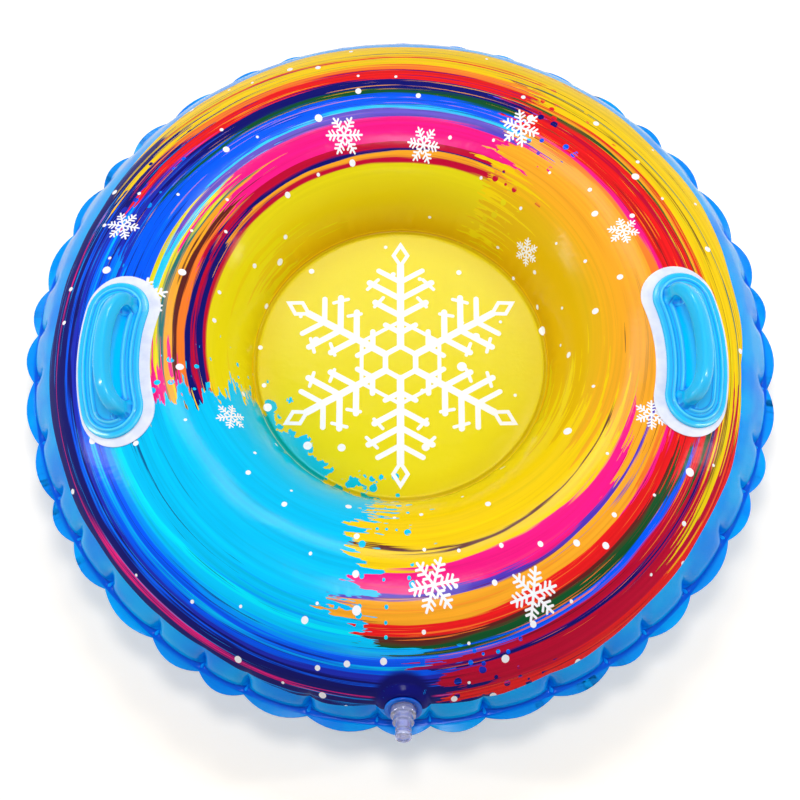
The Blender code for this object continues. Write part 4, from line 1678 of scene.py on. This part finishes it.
    def drops(self, graph: Graph, place: Socket) -> Socket:
        """Round drops of splashed ink here and there, from 0 to 1.

        Args:
            graph: The material's nodes.
            place: The place on the flat sheet.

        Returns:
            The mask.
        """
        cell = graph.cells(place, self.drop_cell, 1.0)
        chance, size, _ = graph.parts(cell.outputs["Color"])
        chosen = graph.math("GREATER_THAN", chance, self.drop_chance)
        reach = graph.both(graph.span(size, 0.0, 1.0, *self.drop_radii), chosen)
        near = graph.math("LESS_THAN", cell.outputs["Distance"], reach)
        return graph.both(near, self.boss.clear(graph, place))


@dataclass
class HandleForm:
    """One handle and its patch on the ring: a chart of u along the handle and v out from the crest."""

    side: Side
    form: RingForm
    angle: float
    twist: float
    from_crest: float
    bend_radius: float = 900 * MM
    patch_length: float = 230 * MM
    patch_width: float = 97 * MM
    patch_gap: float = 0.6 * MM
    patch_thickness: float = 1.0 * MM
    base_length: float = 206 * MM
    base_width: float = 80 * MM
    base_shift: float = 4.5 * MM
    base_gap: float = 0.6 * MM
    base_height: float = 3.6 * MM
    field_height: float = 3.0 * MM
    edge_height: float = 1.0 * MM
    edge_round: float = 2.6 * MM
    ridge_height: float = 2.4 * MM
    ridge_width: float = 6 * MM
    ridge_insets: Pair = (10 * MM, 19.5 * MM)
    ridge_rows: int = 13
    ridge_margin: float = 0.62
    edge_rows: int = 6
    plate_insets: tuple[float, ...] = (0.4 * MM, 4 * MM, 12 * MM, 26 * MM)
    field_insets: tuple[float, ...] = (26 * MM, 30 * MM, 35 * MM)
    patch_foot_round: float = 0.2 * MM
    patch_edge: tuple[Pair, ...] = ((0.0, -0.35 * MM), (0.15 * MM, -0.12 * MM))
    patch_insets: tuple[float, ...] = (0.5 * MM, 3 * MM, 8 * MM, 16 * MM, 26 * MM, 37 * MM)
    grip_span: float = 143 * MM
    grip_diameter: float = 18.5 * MM
    grip_height: float = 36 * MM
    grip_root_shift: float = -13 * MM
    grip_lean: float = 7 * MM
    grip_stub: float = 4.5 * MM
    grip_sink: float = 1.6 * MM
    grip_squareness: float = 3.8
    bar_squareness: float = 3.4
    bar_groove: float = 0.75 * MM
    bar_groove_places: Pair = (math.radians(62), math.radians(118))
    bar_groove_width: float = math.radians(20)
    root_flare: float = 5 * MM
    flare_reach: float = 7 * MM
    round_steps: int = 24
    side_steps: int = 26
    stub_steps: int = 3
    grip_steps: int = 72
    bar_sides: int = 48

    @property
    def base_foot(self) -> float:
        """Height of the base plate's underside over the skin."""
        return self.patch_gap + self.patch_thickness + self.base_gap

    def place(self, u: float, v: float, height: float) -> Vector:
        """A point over the skin, from its place in the chart.

        Args:
            u: Distance along the handle.
            v: Distance out from the handle's middle line.
            height: Height over the skin.

        Returns:
            The point.
        """
        middle = self.form.crest_travel + self.from_crest
        bent = v - u * u / (2 * self.bend_radius)
        along = u * math.cos(self.twist) - bent * math.sin(self.twist)
        out = u * math.sin(self.twist) + bent * math.cos(self.twist)
        angle = self.angle + along / self.form.radius_at(middle)
        point = self.form.skin(np.array(angle), np.array(middle + out), height)
        return Vector(point) + Vector(self.form.centre)

    def outline(self, length: float, width: float, inset: float) -> list[Pair]:
        """A closed loop with round ends, drawn in from the outline of a bean.

        Args:
            length: The bean's length.
            width: Its width.
            inset: Distance in from its edge.

        Returns:
            The points.
        """
        straight = (length - width) / 2
        radius = max(width / 2 - inset, 0.0)
        loop = []
        for end in (1, -1):
            for step in range(self.round_steps + 1):
                turn = math.pi * step / self.round_steps - math.pi / 2
                loop.append((end * (straight + radius * math.cos(turn)), end * radius * math.sin(turn)))
            for step in range(1, self.side_steps):
                loop.append((end * straight * (1 - 2 * step / self.side_steps), end * radius))
        return loop

    def plate(self, length: float, width: float, shift: float, rows: Sequence[Pair]) -> Shape:
        """Points and faces of a bean-shaped plate.

        Args:
            length: The bean's length.
            width: Its width.
            shift: Its distance out from the chart's middle line.
            rows: Inset from the edge and height of each loop, from the underside's middle to the top's.

        Returns:
            The points and the faces.
        """
        points, faces = [], []
        for inset, height in rows:
            points += [self.place(u, v + shift, height) for u, v in self.outline(length, width, inset)]
        count = 2 * (self.round_steps + self.side_steps)
        loops = [range(number * count, (number + 1) * count) for number in range(len(rows))]
        for low, high in zip(loops, loops[1:]):
            faces += between(low, high)
        return points, faces

    def build_patch(self, finish: Finish) -> Piece:
        """The thin white patch, soft at its edge.

        Args:
            finish: Its material.

        Returns:
            The patch.
        """
        low, high = self.patch_gap, self.patch_gap + self.patch_thickness
        insets = (*self.patch_insets, self.patch_width / 2)
        rows = [(inset, low) for inset in reversed(insets)]
        rows.append((0.0, low + self.patch_foot_round))
        rows += [(inset, high + drop) for inset, drop in self.patch_edge]
        rows += [(inset, high) for inset in insets]
        shape = self.plate(self.patch_length, self.patch_width, 0.0, rows)
        piece = add_mesh("patch_" + self.side.value, shape, finish)
        close_up(piece, SOFT_BEND)
        return hand_over(piece, "tube", "patch", "handle_patch_" + self.side.value)

    def base_rows(self) -> list[Pair]:
        """The base plate's section: flat underside, rounded edge, two ridges and the middle field.

        Returns:
            Inset from the edge and height of each loop.
        """
        foot, half = self.base_foot, self.base_width / 2
        rows = [(inset, foot) for inset in (half, *reversed(self.plate_insets))]
        rows.append((0.0, foot + self.plate_insets[0]))
        turns = (math.pi / 2 * step / self.edge_rows for step in range(self.edge_rows + 1))
        insets = [self.edge_round * (1 - math.cos(turn)) for turn in turns]
        for middle in self.ridge_insets:
            shares = np.linspace(-self.ridge_margin, self.ridge_margin, self.ridge_rows)
            insets += [middle + self.ridge_width * share for share in shares]
        insets += [*self.field_insets, half]
        inner_ridge = self.ridge_insets[1]
        for inset in insets:
            share = min(inset / self.edge_round, 1.0)
            edge = self.base_height * math.sqrt(1 - (1 - share) ** 2)
            field_share = float(smooth(np.array(inset), inner_ridge, inner_ridge + self.ridge_width))
            height = max(edge, self.edge_height) - field_share * (self.base_height - self.field_height)
            for middle in self.ridge_insets:
                off = min(abs(inset - middle) / (self.ridge_width / 2), 1.0)
                height += self.ridge_height * (1 - off * off) ** 1.5
            rows.append((inset, foot + height))
        return rows

    def grip_shape(self) -> Shape:
        """Points and faces of the grip: a squared arch with flared roots.

        Returns:
            The points and the faces.
        """
        rises = (step / self.stub_steps for step in range(self.stub_steps))
        stub = [(1.0, 0.0, self.grip_sink + (self.grip_stub - self.grip_sink) * rise) for rise in rises]
        arch = []
        for step in range(self.grip_steps + 1):
            turn = math.pi * step / self.grip_steps
            side = signed_power(math.cos(turn), 2 / self.grip_squareness)
            rise = abs(math.sin(turn)) ** (2 / self.grip_squareness)
            arch.append((side, rise, self.grip_stub + (self.grip_height - self.grip_stub) * rise))
        route = stub + arch + [(-side, rise, height) for side, rise, height in reversed(stub)]
        centres, reaches = [], []
        for side, rise, height in route:
            v = self.base_shift + self.grip_root_shift + self.grip_lean * rise * rise
            centres.append(self.place(side * self.grip_span / 2, v, self.base_foot + height))
            flare = 1 - min(max(height - self.field_height, 0.0) / self.flare_reach, 1.0)
            reaches.append(self.grip_diameter / 2 + self.root_flare * flare**2)
        return self.bar(centres, reaches)

    def bar(self, centres: Sequence[Vector], reaches: Sequence[float]) -> Shape:
        """Points and faces of a bar of squared round section along an arch.

        Args:
            centres: Points along the bar's middle line.
            reaches: Half of its thickness at each of them.

        Returns:
            The points and the faces.
        """
        points, faces = [], []
        last = len(centres) - 1
        arch_side = (centres[-1] - centres[0]).cross(centres[last // 2] - centres[0]).normalized()
        for number, centre in enumerate(centres):
            ahead = centres[min(number + 1, last)] - centres[max(number - 1, 0)]
            upward = ahead.cross(arch_side).normalized()
            across = upward.cross(ahead).normalized()
            for side in range(self.bar_sides):
                turn = math.tau * side / self.bar_sides
                cosine = signed_power(math.cos(turn), 2 / self.bar_squareness)
                sine = signed_power(math.sin(turn), 2 / self.bar_squareness)
                near = sum(mound(turn, middle, self.bar_groove_width) for middle in self.bar_groove_places)
                reach = reaches[number] - self.bar_groove * near
                points.append(centre + (across * cosine + upward * sine) * reach)
        loops = [range(number * self.bar_sides, (number + 1) * self.bar_sides) for number in range(last + 1)]
        for low, high in zip(loops, loops[1:]):
            faces += between(low, high)
        faces += [tuple(loops[0]), tuple(loops[-1])]
        return points, faces

    def build_handle(self, finish: Finish) -> Piece:
        """The moulded handle: ridged base plate and grip in one piece.

        Args:
            finish: Its material.

        Returns:
            The handle.
        """
        shape = self.plate(self.base_length, self.base_width, self.base_shift, self.base_rows())
        piece = add_mesh("moulding_" + self.side.value, shape, finish)
        grip = add_mesh("grip_" + self.side.value, self.grip_shape(), finish)
        for part in (piece, grip):
            close_up(part, MOULDED_BEND)
        union = piece.modifiers.new("Grip", "BOOLEAN")
        union.operation = "UNION"
        union.solver = "EXACT"
        union.object = grip
        depsgraph = bpy.context.evaluated_depsgraph_get()
        mesh = bpy.data.meshes.new_from_object(piece.evaluated_get(depsgraph))
        piece.modifiers.clear()
        piece.data = mesh
        bpy.data.objects.remove(grip, do_unlink=True)
        mesh.shade_smooth()
        mesh.set_sharp_from_angle(angle=MOULDED_BEND)
        return hand_over(piece, "tube", "handle", "handle_" + self.side.value)


HANDLE_PLACES = {
    Side.LEFT: {"angle": math.radians(186.8), "twist": math.radians(6.9), "from_crest": 44 * MM},
    Side.RIGHT: {"angle": math.radians(-4.4), "twist": math.radians(-8.1), "from_crest": 48 * MM},
}


def rounded(corners: Sequence[Triple], steps: int = 5) -> list[Pair]:
    """A closed outline with its corners rounded.

    Args:
        corners: Radius, height and rounding of each corner.
        steps: Points in each rounding.

    Returns:
        The outline's points.
    """
    outline = []
    count = len(corners)
    for number, (x, y, size) in enumerate(corners):
        here = Vector((x, y))
        if size <= 0:
            outline.append((x, y))
            continue
        before = Vector(corners[number - 1][:2]) - here
        after = Vector(corners[(number + 1) % count][:2]) - here
        start, end = (here + side.normalized() * min(size, side.length * 0.49) for side in (before, after))
        for step in range(steps + 1):
            share = step / steps
            point = start * (1 - share) ** 2 + here * (2 * share * (1 - share)) + end * share**2
            outline.append((point.x, point.y))
    return outline


@dataclass
class Valve:
    """The air valve on its axis: soft boot, clear stem, clear plug and check flap.

    Heights are along the valve's axis from the skin.
    """

    form: RingForm
    steps: int = 72
    lip_radius: float = 22.5 * MM
    lip_foot: float = 6.3 * MM
    lip_top: float = 9.9 * MM
    recess_radius: float = 17.4 * MM
    recess_foot: float = 7.3 * MM
    sleeve_bore: float = 12.9 * MM
    sleeve_wall: float = 2.1 * MM
    sleeve_foot: float = -16 * MM
    neck_radius: float = 20.2 * MM
    flange_radius: float = 27 * MM
    flange_top: float = 5.0 * MM
    flange_drop: float = 6 * MM
    flange_thickness: float = 1.6 * MM
    stem_radius: float = 12.6 * MM
    stem_foot: float = -18 * MM
    collar_radius: float = 15.5 * MM
    collar_foot: float = 7.6 * MM
    collar_top: float = 17.6 * MM
    tier_radius: float = 12.75 * MM
    tier_waist: float = 0.7 * MM
    tier_top: float = 27.6 * MM
    tier_flare: Pair = (3.2 * MM, 2.6 * MM)
    stem_neck_radius: float = 9.5 * MM
    neck_top: float = 38.1 * MM
    bore_radius: float = 6 * MM
    chamber_radius: float = 10 * MM
    chamber_drop: float = 4 * MM
    port_radius: float = 7 * MM
    stem_floor: float = 2 * MM
    plug_foot: float = 38.4 * MM
    plug_top: float = 48.9 * MM
    plug_waist_radius: float = 8.4 * MM
    plug_waist_top: float = 41.4 * MM
    plug_radius: float = 10 * MM
    plug_flare: float = 1.4 * MM
    plug_dimple: float = 1.4 * MM
    plug_dimple_shares: Pair = (0.66, 0.5)
    shank_length: float = 13.5 * MM
    shank_radius: float = 5.7 * MM
    flap_radius: float = 9.2 * MM
    flap_thickness: float = 0.8 * MM
    flap_gap: float = 0.3 * MM
    flap_step: float = 0.25 * MM
    flap_boss_share: float = 0.8

    def turned(self, name: str, corners: Sequence[Triple], finish: Finish) -> Piece:
        """A closed solid turned around the valve's axis from its outline.

        Args:
            name: The piece's name.
            corners: Radius, height and rounding of the outline's corners.
            finish: Its material.

        Returns:
            The piece, in its place on the ring.
        """
        points, faces = [], []
        outline = rounded(corners)
        seat = Matrix.Translation(self.form.centre) @ self.form.valve_frame
        for radius, height in outline:
            for step in range(self.steps):
                turn = math.tau * step / self.steps
                points.append(seat @ Vector((radius * math.cos(turn), radius * math.sin(turn), height)))
        loops = [range(number * self.steps, (number + 1) * self.steps) for number in range(len(outline))]
        for low, high in zip(loops, (*loops[1:], loops[0])):
            faces += between(low, high)
        piece = add_mesh(name, (points, faces), finish)
        close_up(piece, TURNED_BEND)
        return piece

    def build_boot(self, finish: Finish) -> Piece:
        """The soft boot: round lip, recess, sleeve, and the flange under the skin.

        Args:
            finish: Its material.

        Returns:
            The boot.
        """
        sleeve = self.sleeve_bore + self.sleeve_wall
        under = self.flange_top - self.flange_thickness
        corners = (
            (sleeve, self.sleeve_foot, 0.6 * MM),
            (sleeve, under, 1.0 * MM),
            (self.neck_radius, under, 1.0 * MM),
            (self.flange_radius, under - self.flange_drop, 0.4 * MM),
            (self.flange_radius, self.flange_top - self.flange_drop, 0.4 * MM),
            (self.neck_radius, self.flange_top, 0.6 * MM),
            (self.neck_radius, self.lip_foot, 0.3 * MM),
            (self.lip_radius, self.lip_foot, 1.5 * MM),
            (self.lip_radius, self.lip_top, 1.9 * MM),
            (self.recess_radius, self.lip_top, 1.7 * MM),
            (self.recess_radius, self.recess_foot, 0.7 * MM),
            (self.sleeve_bore, self.recess_foot, 0.3 * MM),
            (self.sleeve_bore, self.sleeve_foot, 0.5 * MM),
        )
        piece = self.turned("boot", corners, finish)
        return hand_over(piece, "tube", "boot", "valve_boot")

    def build_stem(self, finish: Finish) -> Piece:
        """The clear stepped stem with its through bore.

        Args:
            finish: Its material.

        Returns:
            The stem.
        """
        waist = self.tier_radius - self.tier_waist
        corners = (
            (self.stem_radius, self.stem_foot, 0.6 * MM),
            (self.stem_radius, self.collar_foot, 0.2 * MM),
            (self.collar_radius, self.collar_foot, 0.8 * MM),
            (self.collar_radius, self.collar_top, 3.0 * MM),
            (waist, self.collar_top, 0.5 * MM),
            (waist, self.tier_top - self.tier_flare[0], 0.5 * MM),
            (self.tier_radius, self.tier_top - self.tier_flare[1], 0.5 * MM),
            (self.tier_radius, self.tier_top, 0.9 * MM),
            (self.stem_neck_radius, self.tier_top, 0.6 * MM),
            (self.stem_neck_radius, self.neck_top, 0.6 * MM),
            (self.bore_radius, self.neck_top, 0.5 * MM),
            (self.bore_radius, self.collar_top, 0.6 * MM),
            (self.chamber_radius, self.collar_top - self.chamber_drop, 0.8 * MM),
            (self.chamber_radius, self.stem_foot + self.stem_floor, 0.4 * MM),
            (self.port_radius, self.stem_foot + self.stem_floor, 0.3 * MM),
            (self.port_radius, self.stem_foot, 0.3 * MM),
        )
        piece = self.turned("clear_stem", corners, finish)
        return hand_over(piece, "insert", "clear_stem", "valve_insert")

    def build_plug(self, finish: Finish) -> Piece:
        """The clear plug: shank, waist and wide head with a dimpled end.

        Args:
            finish: Its material.

        Returns:
            The plug.
        """
        tip = self.plug_foot - self.shank_length
        dimple_rim, dimple_foot = (self.plug_radius * share for share in self.plug_dimple_shares)
        corners = (
            (0.0, tip, 0.0),
            (self.shank_radius, tip, 1.4 * MM),
            (self.shank_radius, self.plug_foot, 0.2 * MM),
            (self.plug_waist_radius, self.plug_foot, 0.5 * MM),
            (self.plug_waist_radius, self.plug_waist_top, 0.6 * MM),
            (self.plug_radius, self.plug_waist_top + self.plug_flare, 0.8 * MM),
            (self.plug_radius, self.plug_top, 1.6 * MM),
            (dimple_rim, self.plug_top, 0.8 * MM),
            (dimple_foot, self.plug_top - self.plug_dimple, 0.8 * MM),
            (0.0, self.plug_top - self.plug_dimple, 0.0),
        )
        piece = self.turned("clear_plug", corners, finish)
        return hand_over(piece, "plug", "clear_plug", "valve_plug")

    def build_flap(self, finish: Finish) -> Piece:
        """The check flap: a thin disc with a thicker middle over the stem's port.

        Args:
            finish: Its material.

        Returns:
            The flap.
        """
        top = self.stem_foot - self.flap_gap
        foot = top - self.flap_thickness
        corners = (
            (0.0, foot, 0.0),
            (self.port_radius * self.flap_boss_share, foot, 0.3 * MM),
            (self.port_radius, foot + self.flap_step, 0.3 * MM),
            (self.flap_radius, foot + self.flap_step, 0.2 * MM),
            (self.flap_radius, top, 0.2 * MM),
            (0.0, top, 0.0),
        )
        piece = self.turned("check_flap", corners, finish)
        return hand_over(piece, "flap", "flap_film", "valve_check_flap")


@dataclass(frozen=True)
class SoftLamp:
    """A soft rectangular lamp: its place, its width and length, and its power in watts."""

    name: str
    place: Triple
    size: Pair
    power: float

    def hang(self, target: Vector) -> bpy.types.Object:
        """Hang the lamp, facing a target.

        Args:
            target: What it faces.

        Returns:
            The lamp.
        """
        data = bpy.data.lights.new(self.name, "AREA")
        data.shape = "RECTANGLE"
        data.size, data.size_y = self.size
        data.energy = self.power
        lamp = bpy.data.objects.new(self.name, data)
        bpy.context.scene.collection.objects.link(lamp)
        lamp.location = self.place
        lamp.rotation_euler = (target - Vector(self.place)).to_track_quat("-Z", "Y").to_euler()
        return lamp


@dataclass
class Studio:
    """White floor, plain soft light and the camera at the photograph's viewing angle."""

    target: Vector
    elevation: float = math.radians(67)
    distance: float = 2.425
    focal_pixels: float = 1868.5
    image_pixels: float = 800.0
    target_pixel: Pair = (400.5, 362.5)
    sensor: float = 36.0
    floor_size: float = 60.0
    floor_colour: Colour = (0.97, 0.88, 0.76, 1.0)
    sky_colour: Colour = (1.0, 1.0, 1.0, 1.0)
    floor_lift: float = 0.31
    far_lift: float = 0.8
    floor_near: Pair = (0.8, 3.2)
    sky_level: float = 0.26
    view_end: float = 100.0
    lamps: tuple[SoftLamp, ...] = (
        SoftLamp("top_lamp", place=(0.0, -0.3, 2.9), size=(0.6, 0.5), power=22.0),
        SoftLamp("back_lamp", place=(0.0, 1.3, 2.5), size=(1.1, 0.5), power=23.0),
        SoftLamp("left_lamp", place=(-2.0, -0.1, 1.2), size=(0.1, 1.1), power=13.0),
        SoftLamp("right_lamp", place=(2.0, -0.1, 1.2), size=(0.1, 1.1), power=13.0),
        SoftLamp("front_lamp", place=(0.0, -2.2, 1.6), size=(1.3, 0.1), power=3.0),
    )

    def add_camera(self) -> bpy.types.Object:
        """The camera, shifted only as the photograph's framing needs.

        Returns:
            The camera.
        """
        data = bpy.data.cameras.new("photo_camera")
        data.sensor_width = self.sensor
        data.lens = self.focal_pixels / self.image_pixels * self.sensor
        middle = self.image_pixels / 2
        data.shift_x = (middle - self.target_pixel[0]) / self.image_pixels
        data.shift_y = (self.target_pixel[1] - middle) / self.image_pixels
        data.clip_end = self.view_end
        camera = bpy.data.objects.new("photo_camera", data)
        bpy.context.scene.collection.objects.link(camera)
        back = Vector((0, -math.cos(self.elevation), math.sin(self.elevation)))
        camera.location = self.target + back * self.distance
        camera.rotation_euler = (math.pi / 2 - self.elevation, 0, 0)
        bpy.context.scene.camera = camera
        return camera

    def seen(self, graph: Graph) -> Socket:
        """1 for the rays that show the background: from the camera, in gloss, or through clear plastic."""
        path = graph.node("ShaderNodeLightPath", {}).outputs
        return graph.either(path["Is Camera Ray"], path["Is Glossy Ray"], path["Is Transmission Ray"])

    def add_floor(self) -> Piece:
        """A white floor that keeps the object's shadow.

        Returns:
            The floor.
        """
        made = bpy.data.materials.new("studio_floor")
        made.use_nodes = True
        graph = Graph(made.node_tree)
        made.node_tree.nodes.remove(made.node_tree.nodes["Principled BSDF"])
        diffuse = graph.node("ShaderNodeBsdfDiffuse", {"Color": self.floor_colour})
        far = graph.span(graph.length(graph.object_place()), *self.floor_near, self.floor_lift, self.far_lift)
        lift = graph.node("ShaderNodeEmission", {"Strength": graph.both(self.seen(graph), far)})
        mixed = graph.node("ShaderNodeAddShader", {})
        for socket, shader in zip(mixed.inputs, (diffuse, lift)):
            graph.feed(socket, shader.outputs[0])
        graph.feed(made.node_tree.nodes["Material Output"].inputs["Surface"], mixed.outputs[0])
        half = self.floor_size / 2
        corners = [(-half, -half, 0), (half, -half, 0), (half, half, 0), (-half, half, 0)]
        floor = add_mesh("studio_floor", (corners, [(0, 1, 2, 3)]), made)
        return floor

    def add_sky(self) -> None:
        """An even soft sky, which shows as white."""
        world = bpy.data.worlds.new("studio_sky")
        world.use_nodes = True
        bpy.context.scene.world = world
        graph = Graph(world.node_tree)
        background = world.node_tree.nodes["Background"]
        background.inputs["Color"].default_value = self.sky_colour
        level = graph.total(self.sky_level, graph.both(self.seen(graph), 1.0 - self.sky_level))
        graph.feed(background.inputs["Strength"], level)

    def build(self) -> None:
        """Set up floor, sky, lamps and camera."""
        self.add_floor()
        self.add_sky()
        for lamp in self.lamps:
            lamp.hang(self.target)
        self.add_camera()
        bpy.context.scene.view_settings.view_transform = "Standard"


def main() -> None:
    """Dress the frame, piece by piece, and set up the studio."""
    logging.basicConfig(level=logging.INFO, format="%(message)s")
    form = RingForm()
    printed = SnowPrint("printed_film", roughness=0.16, specular=0.08).build()
    blue = MottledPlastic(
        "blue_film", roughness=0.17, specular=0.08, ink=Ink.FILM_BLUE, shade=Ink.FILM_SHADE
    ).build()
    upper = Sheet("printed_sheet", "top_sheet", "printed_skin", form, upward=True, thickness=0.6 * MM)
    upper.build(printed, blue)
    lower = Sheet("blue_sheet", "bottom_sheet", "base_skin", form.under(), upward=False, thickness=0.8 * MM)
    lower.build(blue, blue)
    satin = MottledPlastic(
        "patch_film", roughness=0.36, specular=0.35, ink=Ink.PATCH, shade=Ink.PATCH_SHADE, drift_size=16 * MM
    ).build()
    # The handles' plastic takes a painted highlight on its ridges and painted shade in its hollows.
    sky = MottledPlastic(
        "handle_plastic", roughness=0.16, specular=0.3, coat=0.2, subsurface=0.05,
        ink=Ink.SKY, shade=Ink.SKY, crest=Ink.SKY_HIGHLIGHT, hollow_shade=Ink.SKY_SHADE,
    ).build()
    for side, place in HANDLE_PLACES.items():
        handle = HandleForm(side, form, **place)
        handle.build_patch(satin)
        handle.build_handle(sky)
    valve = Valve(form)
    soft = MottledPlastic(
        "boot_plastic", roughness=0.12, specular=0.16, coat=0.2, ink=Ink.BOOT_BLUE, shade=Ink.BOOT_DEEP
    ).build()
    valve.build_boot(soft)
    # The clear parts take painted shade towards their rims.
    valve.build_stem(ClearPlastic("stem_plastic", roughness=0.04, transmission=0.74).build())
    valve.build_plug(ClearPlastic("plug_plastic", roughness=0.05, transmission=0.8).build())
    valve.build_flap(ClearPlastic("flap_plastic", roughness=0.15, specular=0.5, transmission=0.7).build())
    Studio(Vector(form.centre)).build()


if __name__ == "__main__":
    main()
